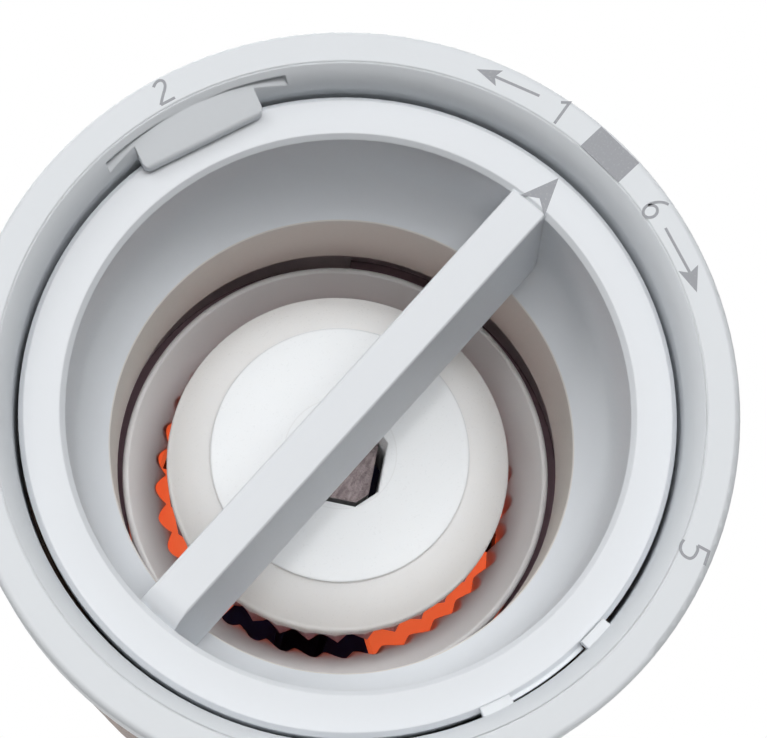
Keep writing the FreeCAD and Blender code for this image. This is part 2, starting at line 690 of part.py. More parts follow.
def base_ring():
    """White ring the mill stands on: scale face, rounded lip, skirt, and a lug and two nubs over the dial."""
    body = turned("base_ring", [
        (r.well, s.lip_height),
        (r.lip, ZERO, s.lip_radius),
        (r.lip + s.line_width / 2, s.line_depth),
        (r.lip + s.line_width, ZERO),
        (r.base - s.ring_edge_round, ZERO),
        (r.base, s.ring_edge_round, s.ring_edge_round),
        (r.base, s.ring_thickness),
        (r.skirt, s.ring_thickness),
        (r.skirt, z.skirt_top),
        (r.well, z.skirt_top),
    ])
    nose = r.dial - s.lug_reach
    outer = r.well + s.lug_root
    half = s.lug_half_length
    side = leg(outer, half)
    corner = s.lug_corner
    plan = outline(body, "lug_plan", "XY_Plane", [
        (nose + corner, -half, corner),
        (side, -half),
        (side, half, outer),
        (nose + corner, half),
        (nose, half - corner, corner),
        (nose, -half + corner),
    ], offset=z.lug_low, turn=s.lug_turn)
    extruded(body, "Pad", plan, "lug", s.lug_thickness)
    foot = r.well + s.lug_foot
    run = foot - nose
    drop = s.lug_thickness - s.lug_nose
    slope = (run * run + drop * drop).root()
    blend = s.lug_blend
    nose_low = z.lug_high - s.lug_nose
    slope_plan = outline(body, "lug_slope_plan", "XZ_Plane", [
        (foot, z.lug_low),
        (nose + run / slope * blend, nose_low - drop / slope * blend),
        (nose, nose_low + blend, -(blend * (slope + drop) / run)),
        (nose - corner, nose_low + blend),
        (nose - corner, z.lug_low),
    ], turn=s.lug_turn, upright=True)
    extruded(body, "Pocket", slope_plan, "lug_slope", half * 3, middle=True)
    inner = r.dial - s.snap_reach
    low = s.dial_recess - s.snap_gap - s.snap_thickness
    apart = (s.rim_rib_angle + s.snap_angle) / 2
    for name, turn in (("snap_before", s.rim_rib_turn - apart), ("snap_after", s.rim_rib_turn + apart)):
        snap_plan = outline(body, name + "_plan", "XY_Plane",
                            sector_points(inner, r.well + s.lug_root, s.snap_angle), offset=low, turn=turn)
        extruded(body, "Pad", snap_plan, name, s.snap_thickness)
    return body


def wood_body():
    """Turned wooden body: bored for the housing, the hopper and the neck bearing."""
    drum_top = s.ring_thickness + s.drum_height
    shoulder_top = drum_top + s.shoulder_rise
    bead_low = z.body_top - s.bead_height
    bead_start = bead_low + s.bead_fillet
    waist = s.hopper_radius + s.waist_wall
    drum = r.base - s.body_inset - s.drum_narrowing
    housing_bore = r.housing + s.press_gap
    body = turned("wood_body", [
        (r.skirt + s.press_gap, s.ring_thickness),
        (r.base - s.body_inset, s.ring_thickness),
        (drum, drum_top),
        (drum - s.shoulder_drop, shoulder_top, s.shoulder_curve),
        (waist, shoulder_top + s.waist_rise, -s.waist_curve),
        (r.neck_wood, bead_low, -s.neck_curve),
        (r.bead_foot, bead_low),
        (r.bead_foot, bead_start),
        (r.bead_foot, z.body_top, s.bead_curve),
        (r.bearing + s.press_gap, z.body_top),
        (r.bearing + s.press_gap, z.bearing_low),
        (s.hopper_radius, z.bearing_low),
        (s.hopper_radius, z.bridge_top),
        (housing_bore, z.bridge_top),
        (housing_bore, z.skirt_top),
        (r.skirt + s.press_gap, z.skirt_top),
    ])
    depth = s.screw_bite + s.press_gap * 2
    hole = circle_sketch(body, "pilot_plan", "XY_Plane", r.screw_circle, ZERO, s.screw_radius + s.screw_gap,
                         offset=z.bridge_top + depth, turn=s.screw_turn)
    pilot = extruded(body, "Pocket", hole, "pilot_hole", depth)
    patterned(body, pilot, "pilot_holes", s.screw_count)
    return body


def mechanism_housing():
    """White tube inside the foot of the body, with keyways for the burr carrier."""
    step = z.thread_foot + s.cup_headroom
    upper = z.web_top + s.keyway_margin
    body = turned("mechanism_housing", [
        (r.housing_foot_bore, z.housing_low),
        (r.housing, z.housing_low),
        (r.housing, z.bridge_low),
        (r.flange_bore, z.bridge_low),
        (r.flange_bore, z.flange_low),
        (r.upper_bore, z.flange_low),
        (r.upper_bore, upper),
        (r.housing_bore, upper),
        (r.housing_bore, step),
        (r.housing_foot_bore, step),
    ])
    half = s.rib_width / 2 + s.slide_gap
    low = step - s.keyway_margin
    keyway_plan = outline(body, "keyway_plan", "XY_Plane",
                          box_points(r.flange_bore, r.keyway, -half, half),
                          offset=z.flange_low, turn=s.window_turn)
    keyway = extruded(body, "Pocket", keyway_plan, "keyway", z.flange_low - low)
    patterned(body, keyway, "keyways", s.rib_count)
    countersunk(body, r.screw_circle, z.flange_low, s.housing_flange, s.screw_turn, s.screw_count)
    return body


def countersunk(body, circle, low, thickness, turn, count):
    """Countersunk screw holes, open downwards, on a circle of the body."""
    radius = s.screw_radius + s.screw_gap
    head = s.screw_head_radius + s.screw_gap
    plan = circle_sketch(body, "screw_plan", "XY_Plane", circle, ZERO, radius,
                         offset=low + thickness, turn=turn)
    hole = extruded(body, "Pocket", plan, "screw_hole", thickness)
    patterned(body, hole, "screw_holes", count)
    sink_plan = circle_sketch(body, "sink_plan", "XY_Plane", circle, ZERO, head, offset=low, turn=turn)
    sink = extruded(body, "Pocket", sink_plan, "sink", head - radius, reverse=True)
    sink.TaperAngle = -45.0
    patterned(body, sink, "sinks", count)


def bearing_bridge():
    """Orange plate over the housing: hub for the spindle, three windows and a sleeve into the burr."""
    hub_bore = r.bush + s.press_gap / 2
    body = turned("bearing_bridge", [
        (hub_bore, z.bridge_hub_low),
        (r.bridge_hub, z.bridge_hub_low),
        (r.bridge_hub, z.bridge_low),
        (r.sleeve_bore, z.bridge_low),
        (r.sleeve_bore, z.sleeve_low),
        (r.sleeve, z.sleeve_low),
        (r.sleeve, z.bridge_low),
        (r.bridge_plate, z.bridge_low),
        (r.bridge_plate, z.bridge_top),
        (hub_bore, z.bridge_top),
    ])
    plan = outline(body, "window_plan", "XY_Plane",
                   sector_points(r.window_inner, r.window_outer, s.window_angle),
                   offset=z.bridge_top, turn=s.window_turn)
    window = extruded(body, "Pocket", plan, "window", s.bridge_plate)
    patterned(body, window, "windows", s.window_count)
    hole_plan = circle_sketch(body, "hole_plan", "XY_Plane", r.screw_circle, ZERO,
                              s.screw_radius + s.screw_gap, offset=z.bridge_top, turn=s.screw_turn)
    hole = extruded(body, "Pocket", hole_plan, "hole", s.bridge_plate)
    patterned(body, hole, "holes", s.screw_count)
    return body


def ring_of(label, inner, outer, low, high):
    """Plain bush or washer."""
    return turned(label, [(inner, low), (outer, low), (outer, high), (inner, high)])


def screw(name, circle, low, length, angle):
    """Countersunk screw with its head at the lower end, at an angle round the axis."""
    head_top = low + s.screw_head_radius - s.screw_radius
    top = low + length
    shank = cylinder(name + "_shank", s.screw_radius, low, top - s.screw_radius, shift=circle)
    head = cone(name + "_head", s.screw_head_radius, s.screw_radius, low, head_top, shift=circle)
    tip = cone(name + "_tip", s.screw_radius, s.screw_gap, top - s.screw_radius, top, shift=circle)
    blank = fused(name + "_blank", [shank, head, tip])
    recess_top = low + s.screw_slot_depth
    slot = centred_box(name + "_slot", s.screw_slot_length, s.screw_slot, low, recess_top, shift=circle)
    cross = centred_box(name + "_cross", s.screw_slot, s.screw_slot_length, low, recess_top, shift=circle)
    whole = cut_from(name, blank, fused(name + "_recess", [slot, cross]))
    return placed(whole, turn=angle)


def screws(label, circle, low, length, turn, count):
    """Group of equal screws evenly round the axis."""
    total = int(count.value)
    group = doc.addObject("Part::Compound", label.title().replace("_", ""))
    group.Links = [
        screw("%s_%d" % (label, index), circle, low, length, turn + FULL_TURN / total * index)
        for index in range(total)
    ]
    group.Label = label
    return group


def neck_bearing():
    """White plastic bearing in the neck of the body, where the head turns."""
    flange = r.bearing + s.bearing_brim
    return turned("neck_bearing", [
        (r.neck_bore, z.bearing_low),
        (r.bearing, z.bearing_low),
        (r.bearing, z.body_top),
        (flange, z.body_top),
        (flange, z.bearing_top),
        (r.neck_bore, z.bearing_top),
    ])


def adjusting_dial():
    """White dial in the base: face ring, cup, threaded throat and the bar that fingers turn."""
    body = new_body("adjusting_dial")
    half = s.bar_width / 2
    root = s.bar_root_width / 2
    aside = s.bar_offset
    bar_top = s.dial_recess + s.bar_height
    bar_plan = outline(body, "bar_section", "YZ_Plane", [
        (-half - aside + s.bar_edge, s.dial_recess),
        (half - aside - s.bar_edge, s.dial_recess),
        (half - aside, s.dial_recess + s.bar_edge),
        (root - aside, bar_top - s.bar_edge),
        (root - aside - s.bar_edge, bar_top),
        (-root - aside + s.bar_edge, bar_top),
        (-root - aside, bar_top - s.bar_edge),
        (-half - aside, s.dial_recess + s.bar_edge),
    ])
    end = r.face_opening + s.bar_end
    extruded(body, "Pad", bar_plan, "bar", end * 2, middle=True)
    roll = tangent_radius(s.bar_roll_drop, s.bar_roll)
    roll_plan = outline(body, "roll_plan", "XZ_Plane", [
        (-end, ZERO),
        (-end + s.bar_roll, ZERO),
        (-end + s.bar_roll, s.dial_recess),
        (-end, s.dial_recess + s.bar_roll_drop, -roll),
    ])
    extruded(body, "Pocket", roll_plan, "roll", s.bar_root_width * 2, middle=True)
    chamfer = s.dial_chamfer
    ring_centre = r.housing_foot_bore - s.ring_squeeze_gap - s.ring_cord / 2
    ring_height = z.dial_back + s.ring_place
    groove = ring_centre - s.ring_cord / 2 - s.ring_groove_gap
    groove_half = s.ring_cord / 2 + s.ring_groove_gap
    cove = tangent_radius(s.cove_width, s.cove_rise)
    section = outline(body, "dial_section", "XZ_Plane", [
        (r.face_opening + chamfer, s.dial_recess),
        (r.dial - chamfer, s.dial_recess),
        (r.dial, s.dial_recess + chamfer),
        (r.dial, z.dial_back),
        (r.cup, z.dial_back),
        (r.cup, ring_height - groove_half),
        (groove, ring_height - groove_half),
        (groove, ring_height + groove_half),
        (r.cup, ring_height + groove_half),
        (r.cup, z.shoulder),
        (r.thread_foot, z.thread_foot),
        (r.thread_foot, z.throat_top),
        (r.throat - s.throat_narrowing, z.throat_top),
        (r.throat, z.throat),
        (r.opening, z.cove, -cove),
        (r.face_opening, s.dial_recess + chamfer),
    ])
    dial = body.newObject("PartDesign::Revolution", "dial_turning")
    dial.Profile = section
    dial.ReferenceAxis = (section, ["V_Axis"])
    dial.Angle = FULL_TURN
    body.Tip = dial
    rib_low = s.dial_recess + s.rim_rib_drop
    rib_plan = outline(body, "rim_rib_plan", "XY_Plane",
                       sector_points(r.dial - s.dial_chamfer, r.dial + s.rim_rib_height, s.rim_rib_angle),
                       offset=rib_low, turn=s.rim_rib_turn)
    extruded(body, "Pad", rib_plan, "rim_rib", z.dial_back - rib_low)
    thread(body, "AdditiveHelix", "ridge", ZERO, s.thread_length)
    return body


def thread(body, kind, name, gap, length):
    """Coarse right-hand thread between dial and burr carrier: ridge or groove, alike but for the gap."""
    middle = z.thread_foot + s.thread_start
    foot = s.thread_root_width / 2 + gap
    crest = s.thread_crest_width / 2 + gap
    crown = r.thread_crest + gap
    low = r.thread_foot - s.thread_height / 2
    profile = outline(body, name + "_section", "XZ_Plane", [
        (low, middle - foot),
        (r.thread_foot, middle - foot),
        (crown, middle - crest),
        (crown, middle + crest),
        (r.thread_foot, middle + foot),
        (low, middle + foot),
    ])
    helix = body.newObject("PartDesign::" + kind, name)
    helix.Profile = profile
    helix.ReferenceAxis = (profile, ["V_Axis"])
    helix.Mode = "pitch-height-angle"
    helix.Pitch = s.thread_pitch.value
    helix.Height = length.value
    helix.Reversed = False
    bind(helix, "Pitch", s.thread_pitch)
    bind(helix, "Height", length)
    body.Tip = helix
    return helix


def rubber_ring(label, outer_bore, cord, height):
    """O-ring in a groove, just clear of the bore round it."""
    ring = doc.addObject("Part::Torus", label.title().replace("_", ""))
    ring.Label = label
    bind(ring, "Radius1", outer_bore - s.ring_squeeze_gap - cord / 2)
    bind(ring, "Radius2", cord / 2)
    return placed(ring, lift=height)


def stator_carrier():
    """Pale ring that holds the ring burr, rides on the dial's thread and slides in the keyways."""
    burr_bore = r.stator + s.press_gap
    hollow = burr_bore + s.carrier_hollow
    hollow_top = z.web_top - s.carrier_hollow_roof
    body = turned("stator_carrier", [
        (r.carrier_bore, z.carrier_low),
        (r.carrier, z.carrier_low),
        (r.carrier, z.web_top),
        (r.collar, z.web_top),
        (r.collar, z.collar_top),
        (burr_bore, z.collar_top),
        (burr_bore, hollow_top),
        (hollow, hollow_top),
        (hollow, z.web_low),
        (r.carrier_bore, z.web_low),
    ])
    notch_plan = outline(body, "notch_plan", "XY_Plane",
                         sector_points(hollow - s.carrier_notch, hollow + s.carrier_notch, s.carrier_notch_angle),
                         offset=hollow_top, turn=s.carrier_notch_turn)
    extruded(body, "Pocket", notch_plan, "notch", hollow_top - z.web_low)
    half = s.rib_width / 2
    rib_low = z.carrier_low + s.rib_rise
    plan = outline(body, "rib_plan", "XY_Plane",
                   box_points(r.carrier - s.carrier_wall / 2, r.rib, -half, half),
                   offset=rib_low, turn=s.window_turn)
    rib = extruded(body, "Pad", plan, "rib", z.web_top - rib_low)
    patterned(body, rib, "ribs", s.rib_count)
    thread(body, "SubtractiveHelix", "groove", s.slide_gap, s.thread_length + z.travel + s.thread_lead_out)
    return body


def toothed(sections):
    """Ruled solid through rings of saw teeth; each is height, tip radius, root radius and turn in degrees."""
    count = int(s.tooth_count.value)
    step = math.tau / count
    lean = s.tooth_lean.value
    wires = []
    for height, tip, root, turn in sections:
        corners = []
        for index in range(2 * count + 1):
            radius = root if index % 2 else tip
            angle = math.radians(turn) + step * (index // 2 + lean * (index % 2))
            corners.append(FreeCAD.Vector(radius * math.cos(angle), radius * math.sin(angle), height))
        corners[-1] = corners[0]
        wires.append(Part.makePolygon(corners))
    return Part.makeLoft(wires, True, True)


def ceramic_stator():
    """Ring burr: white ceramic with a smooth conical mouth and teeth round its bore."""
    inner = r.stator_tip - s.burr_gap
    ring = turned("stator_blank", [
        (inner, z.stator_low),
        (r.stator - s.stator_edge_round, z.stator_low),
        (r.stator, z.stator_low + s.stator_edge_round, s.stator_edge_round),
        (r.stator, z.stator_top),
        (inner, z.stator_top),
    ])
    flare = r.stator_tip + s.stator_flare
    mouth = cone("stator_mouth", flare, r.stator_tip, z.stator_low, z.narrow)
    lip_end = flare - s.stator_flare * s.stator_lip_rise / s.stator_narrow_rise
    lip = cone("stator_lip", flare + s.stator_lip_width, lip_end, z.stator_low, z.stator_low + s.stator_lip_rise)
    tip = number(r.stator_tip)
    root = number(r.stator_root)
    turn = number(s.tooth_turn)
    twist = number(s.tooth_twist)
    top_step = number(s.stator_flare * (z.stator_top - z.narrow) / (z.narrow - z.stator_low))
    flutes = from_code("stator_flutes", toothed([
        (number(z.stator_low), tip, root, turn),
        (number(z.narrow), tip, root, turn + twist),
        (number(z.stator_top), tip + top_step, root + top_step, turn + 2 * twist),
    ]))
    burr = cut_from("CeramicStator", ring, fused("stator_bore", [mouth, lip, flutes]))
    burr.Label = "ceramic_stator"
    return burr


def ceramic_rotor():
    """Cone burr: raised flat face and smooth rim below, teeth round its flank, square hole."""
    rim_start = s.rotor_radius - s.rotor_rim_inset
    lower = turned("rotor_blank", [
        (ZERO, z.rotor_low),
        (s.rotor_face_radius, z.rotor_low),
        (s.rotor_face_radius, z.rotor_low + s.rotor_face_step),
        (rim_start, z.rim_low - s.rotor_rim_drop, s.rotor_dome_curve),
        (s.rotor_radius, z.rim_low + s.rotor_rim_rise, s.rotor_rim_curve),
        (s.rotor_radius, z.rim_top),
        (ZERO, z.rim_top),
    ])
    rim = number(s.rotor_radius)
    depth = number(s.rotor_tooth_depth)
    twist = number(s.rotor_tooth_twist)
    waist = number(r.stator_tip - s.coarse_gap)
    top = number(s.rotor_top_radius)
    flank = from_code("rotor_flank", toothed([
        (number(z.rim_top), rim, rim - number(s.rotor_tooth_start), 0.0),
        (number(z.knee), rim, rim - depth, twist),
        (number(z.narrow), waist, waist - depth, 2 * twist),
        (number(z.rotor_top), top, top - depth, 3 * twist),
    ]))
    blank = fused("rotor_solid", [lower, flank])
    hole = new_body("rotor_hole")
    corners = square_points(s.spindle_width / 2 + s.rotor_hole_gap, s.rotor_hole_chamfer)
    plan = outline(hole, "rotor_hole_plan", "XY_Plane",
                   [(across, along + s.rotor_hole_offset) for across, along in corners], offset=z.rotor_low)
    extruded(hole, "Pad", plan, "rotor_hole_pad", s.rotor_hole_depth)
    placed(hole, turn=s.drive_turn)
    hub_bore = cylinder("hub_bore", r.hub_collar + s.press_gap, z.hole_top, z.rotor_top)
    burr = cut_from("CeramicRotor", blank, fused("rotor_bores", [hole, hub_bore]))
    burr.Label = "ceramic_rotor"
    return burr


def rotor_hub():
    """Plastic hub in the rotor: collar, journal in the bush, clip groove and square bore."""
    clip_gap = s.seat_gap / 2
    body = turned("rotor_hub", [
        (ZERO, z.hole_top),
        (r.hub_collar, z.hole_top),
        (r.hub_collar, z.hub_collar),
        (r.journal, z.hub_collar),
        (r.journal, z.clip_low - clip_gap),
        (r.clip_groove, z.clip_low - clip_gap),
        (r.clip_groove, z.clip_top + clip_gap),
        (r.journal, z.clip_top + clip_gap),
        (r.journal, z.hub_top),
        (ZERO, z.hub_top),
    ])
    plan = outline(body, "hub_square_plan", "XY_Plane",
                   square_points(r.socket_half, s.spindle_chamfer), offset=z.hub_top)
    extruded(body, "Pocket", plan, "hub_square", z.hub_top - z.hole_top)
    pin_hole(body)
    return placed(body, turn=s.drive_turn)


def pin_hole(body):
    """Cross hole for the pin that joins hub and spindle."""
    plan = circle_sketch(body, "pin_plan", "YZ_Plane", ZERO, z.pin, s.pin_radius + s.pin_gap)
    extruded(body, "Pocket", plan, "pin_hole", r.hub_collar * 2, middle=True)


def hub_clip():
    """Open clip in the groove of the hub, above the thrust washer."""
    body = ring_of("hub_clip", r.clip_groove + s.pin_gap, r.journal + s.clip_reach, z.clip_low, z.clip_top)
    half = s.clip_opening / 2
    reach = r.bridge_hub * 2
    plan = outline(body, "clip_opening_plan", "XY_Plane", [
        (ZERO, ZERO),
        (reach * half.cos(), -(reach * half.sin())),
        (reach * half.cos(), reach * half.sin()),
    ], offset=z.clip_top)
    extruded(body, "Pocket", plan, "clip_opening", s.clip_thickness)
    return placed(body, turn=s.drive_turn)


def hub_pin():
    """Steel pin across the hub and the spindle."""
    body = new_body("hub_pin")
    plan = circle_sketch(body, "hub_pin_plan", "YZ_Plane", ZERO, z.pin, s.pin_radius)
    extruded(body, "Pad", plan, "hub_pin_pad", (r.journal - s.pin_gap) * 2, middle=True)
    return placed(body, turn=s.drive_turn)


def spindle():
    """Aluminium spindle: square up to the head, round and threaded through it."""
    body = new_body("spindle")
    square_top = z.square_top - s.seat_gap
    plan = outline(body, "spindle_plan", "XY_Plane",
                   square_points(s.spindle_width / 2, s.spindle_chamfer), offset=z.spindle_low)
    extruded(body, "Pad", plan, "spindle_square", square_top - z.spindle_low)
    stud_plan = circle_sketch(body, "stud_plan", "XY_Plane", ZERO, ZERO, s.stud_radius, offset=square_top)
    extruded(body, "Pad", stud_plan, "stud", z.stud_top - square_top)
    pin_hole(body)
    return placed(body, turn=s.drive_turn)


def stator_spring():
    """Spring between the burr carrier and the bridge, one unbroken wire."""
    radius = number(r.spring)
    wire = number(s.spring_wire)
    low = number(z.web_top + s.spring_seat) + wire / 2
    high = number(z.bridge_low - s.spring_seat) - wire / 2
    quarters = 4 * int(s.spring_turns.value)
    climb = (high - low) / quarters
    quarter = math.tau / 4

    def at(index):
        angle = quarter * index
        spot = FreeCAD.Vector(radius * math.cos(angle), radius * math.sin(angle), low + climb * index)
        way = FreeCAD.Vector(-math.sin(angle), math.cos(angle), climb / (quarter * radius))
        return spot, way.normalize()

    edges = []
    for index in range(quarters):
        edges.extend(biarc(*at(index), *at(index + 1)))
    path = Part.Wire(edges)
    start, way = at(0)
    section = Part.Wire(Part.makeCircle(wire / 2, start, way))
    shell = Part.BRepOffsetAPI.MakePipeShell(path)
    shell.add(section)
    shell.build()
    shell.makeSolid()
    coil = from_code("StatorSpring", shell.shape())
    coil.Label = "stator_spring"
    pitch = climb * 4
    print("spring: gap between turns %.2f mm" % (pitch - wire))
    return coil


def biarc(start, start_way, end, end_way):
    """Two arcs that join two points and leave them along given directions."""
    chord = end.sub(start)
    both = start_way.add(end_way)
    lean = chord.dot(both)
    spread = 2 * (1 - start_way.dot(end_way))
    reach = (-lean + math.sqrt(lean * lean + spread * chord.dot(chord))) / spread
    first_corner = start.add(FreeCAD.Vector(start_way).multiply(reach))
    last_corner = end.sub(FreeCAD.Vector(end_way).multiply(reach))
    joint = first_corner.add(last_corner).multiply(0.5)
    return [arc_by_corner(start, first_corner, joint), arc_by_corner(joint, last_corner, end)]


def arc_by_corner(start, corner, end):
    """Arc that touches the two lines from a corner to its ends."""
    middle = start.add(end).multiply(0.5)
    half = end.sub(start).Length / 2
    rise = corner.sub(middle)
    slope = math.atan2(rise.Length, half)
    top = middle.add(rise.normalize().multiply(half * math.tan(slope / 2)))
    return Part.Arc(start, top, end).toShape()


def wood_head():
    """Turned wooden head that the hand turns: ball over a bead, hollow below."""
    bead_edge = r.head_foot - s.head_step
    ball_low = leg(s.head_ball_radius, s.head_ball_rise)
    recess = r.liner_flange + s.press_gap
    body = turned("wood_head", [
        (recess, z.head_low),
        (r.head_foot, z.head_low),
        (r.head_foot, z.head_bead_top, s.head_bead_curve),
        (bead_edge, z.head_bead_top),
        (ball_low, z.head_neck, -s.head_neck_curve),
        (s.head_top_radius, z.head_top, s.head_ball_radius),
        (r.stud_bore, z.head_top),
        (r.stud_bore, z.cavity_top),
        (r.spigot_bore, z.cavity_top),
        (r.spigot_bore, z.liner_top),
        (recess, z.liner_top),
    ])
    depth = s.plate_screw_bite + s.press_gap * 2
    plan = circle_sketch(body, "head_pilot_plan", "XY_Plane", s.plate_screw_circle, ZERO,
                         s.screw_radius + s.screw_gap, offset=z.cavity_top + depth)
    pilot = extruded(body, "Pocket", plan, "head_pilot", depth)
    patterned(body, pilot, "head_pilots", PAIR)
    return placed(body, turn=s.drive_turn)


def head_liner():
    """White spigot of the head, which turns in the neck bearing."""
    ring_height = z.head_low - s.seal_place
    ring_centre = r.neck_bore - s.ring_squeeze_gap - s.seal_cord / 2
    groove = ring_centre - s.seal_cord / 2 - s.ring_groove_gap
    half = s.seal_cord / 2 + s.ring_groove_gap
    return turned("head_liner", [
        (r.spigot_bore, z.spigot_low),
        (r.spigot, z.spigot_low),
        (r.spigot, ring_height - half),
        (groove, ring_height - half),
        (groove, ring_height + half),
        (r.spigot, ring_height + half),
        (r.spigot, z.head_low),
        (r.liner_flange, z.head_low),
        (r.liner_flange, z.liner_top),
        (r.spigot_bore, z.liner_top),
    ])


def drive_plate():
    """Metal plate in the head with the square socket for the spindle."""
    body = ring_of("drive_plate", r.stud_bore, r.plate, z.plate_low, z.cavity_top)
    plan = outline(body, "socket_plan", "XY_Plane",
                   square_points(r.socket_half, s.spindle_chamfer), offset=z.square_top)
    extruded(body, "Pocket", plan, "socket", z.square_top - z.plate_low)
    countersunk(body, s.plate_screw_circle, z.plate_low, s.plate_thickness, ZERO, PAIR)
    return placed(body, turn=s.drive_turn)


def top_knob():
    """Steel knob that screws onto the spindle and holds the head down."""
    bore = s.stud_radius + s.knob_bore_gap
    bore_top = z.stud_top + s.knob_bore_end
    ball = s.knob_ball_radius
    neck = s.knob_neck_radius
    ball_rise = leg(ball, neck) + ball
    return turned("top_knob", [
        (bore, z.knob_washer),
        (s.knob_foot_radius, z.knob_washer),
        (s.knob_foot_radius, z.knob_foot),
        (neck, z.knob_neck),
        (ZERO, z.knob_neck + ball_rise, ball),
        (ZERO, bore_top),
        (bore, bore_top),
    ])


housing_screw_length = s.housing_flange + s.bridge_plate + s.screw_bite
plate_screw_length = s.plate_thickness + s.plate_screw_bite

SUB_PARTS = [
    base_ring(),
    wood_body(),
    mechanism_housing(),
    bearing_bridge(),
    ring_of("bridge_bush", r.bush_bore, r.bush, z.bridge_hub_low, z.bridge_top),
    screws("housing_screws", r.screw_circle, z.flange_low, housing_screw_length, s.screw_turn, s.screw_count),
    neck_bearing(),
    adjusting_dial(),
    rubber_ring("dial_o_ring", r.housing_foot_bore, s.ring_cord, z.dial_back + s.ring_place),
    stator_carrier(),
    ceramic_stator(),
    stator_spring(),
    ceramic_rotor(),
    rotor_hub(),
    ring_of("thrust_washer", r.journal + s.seat_gap, r.journal + s.washer_width, z.washer_low, z.washer_top),
    hub_clip(),
    hub_pin(),
    spindle(),
    wood_head(),
    head_liner(),
    rubber_ring("head_seal_ring", r.neck_bore, s.seal_cord, z.head_low - s.seal_place),
    drive_plate(),
    screws("drive_plate_screws", s.plate_screw_circle, z.plate_low, plate_screw_length, s.drive_turn, PAIR),
    ring_of("knob_washer", r.stud_bore, s.knob_washer_radius, z.head_top, z.knob_washer),
    top_knob(),
]

doc.recompute()

for thing in doc.Objects:
    if "Invalid" in thing.State or "Error" in thing.State:
        raise RuntimeError("failed: %s %s" % (thing.Label, thing.State))
for sub_part in SUB_PARTS:
    if sub_part.Shape.isNull() or not sub_part.Shape.isValid() or not sub_part.Shape.Solids:
        raise RuntimeError("no valid solid: " + sub_part.Label)

os.makedirs("parts", exist_ok=True)
for sub_part in SUB_PARTS:
    sub_part.Shape.exportStep("parts/%s.step" % sub_part.Label)
    box = sub_part.Shape.BoundBox
    print("%-20s %d %9.1f mm3  z %7.2f to %7.2f" % (
        sub_part.Label, len(sub_part.Shape.Solids), sub_part.Shape.Volume, box.ZMin, box.ZMax))
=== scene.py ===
"""Salt mill with a ceramic burr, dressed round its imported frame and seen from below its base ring.

Lengths are metres in the frame's own axes: Z is the axis of the mill and z = 0 is the table.
"""

from __future__ import annotations

import json
import logging
import math
from dataclasses import dataclass
from enum import Enum

import bmesh
import bpy
from mathutils import Matrix, Vector

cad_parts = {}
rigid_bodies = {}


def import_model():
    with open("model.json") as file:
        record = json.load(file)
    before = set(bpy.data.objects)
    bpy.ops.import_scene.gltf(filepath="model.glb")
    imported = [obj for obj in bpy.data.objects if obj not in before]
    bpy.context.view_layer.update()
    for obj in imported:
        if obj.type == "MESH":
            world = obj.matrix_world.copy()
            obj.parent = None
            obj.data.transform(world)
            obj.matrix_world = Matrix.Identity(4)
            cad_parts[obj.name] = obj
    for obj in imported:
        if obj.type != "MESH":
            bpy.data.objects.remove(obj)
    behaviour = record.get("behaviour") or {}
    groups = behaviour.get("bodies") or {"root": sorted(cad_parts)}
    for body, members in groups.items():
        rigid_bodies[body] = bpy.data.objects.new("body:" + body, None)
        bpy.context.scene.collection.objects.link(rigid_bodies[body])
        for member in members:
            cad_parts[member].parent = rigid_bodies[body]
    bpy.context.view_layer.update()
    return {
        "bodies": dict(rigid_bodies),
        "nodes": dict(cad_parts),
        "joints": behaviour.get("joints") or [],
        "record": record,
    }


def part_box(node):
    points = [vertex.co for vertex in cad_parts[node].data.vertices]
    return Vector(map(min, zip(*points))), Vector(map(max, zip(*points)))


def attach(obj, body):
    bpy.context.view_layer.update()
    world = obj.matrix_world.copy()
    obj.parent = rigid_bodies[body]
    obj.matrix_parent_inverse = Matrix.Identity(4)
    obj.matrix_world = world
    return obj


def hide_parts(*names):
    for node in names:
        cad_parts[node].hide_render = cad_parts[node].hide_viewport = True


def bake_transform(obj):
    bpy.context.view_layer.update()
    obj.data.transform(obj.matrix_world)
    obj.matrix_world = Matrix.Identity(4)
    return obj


LOG = logging.getLogger("salt_mill")
MM = 0.001

Colour = tuple[float, float, float]
Point = tuple[float, float]
Socket = bpy.types.NodeSocket
Thing = bpy.types.Object
BMesh = bmesh.types.BMesh


class PortKind(Enum):
    """Kinds of socket that a shader group has."""

    NUMBER = "NodeSocketFloat"
    DIRECTION = "NodeSocketVector"


@dataclass(frozen=True)
class Port:
    """Named input or output of a shader group."""

    name: str
    kind: PortKind = PortKind.NUMBER
    start: float = 0.0


NORMAL = Port("Normal", PortKind.DIRECTION)
NOISE_MEAN = 0.5


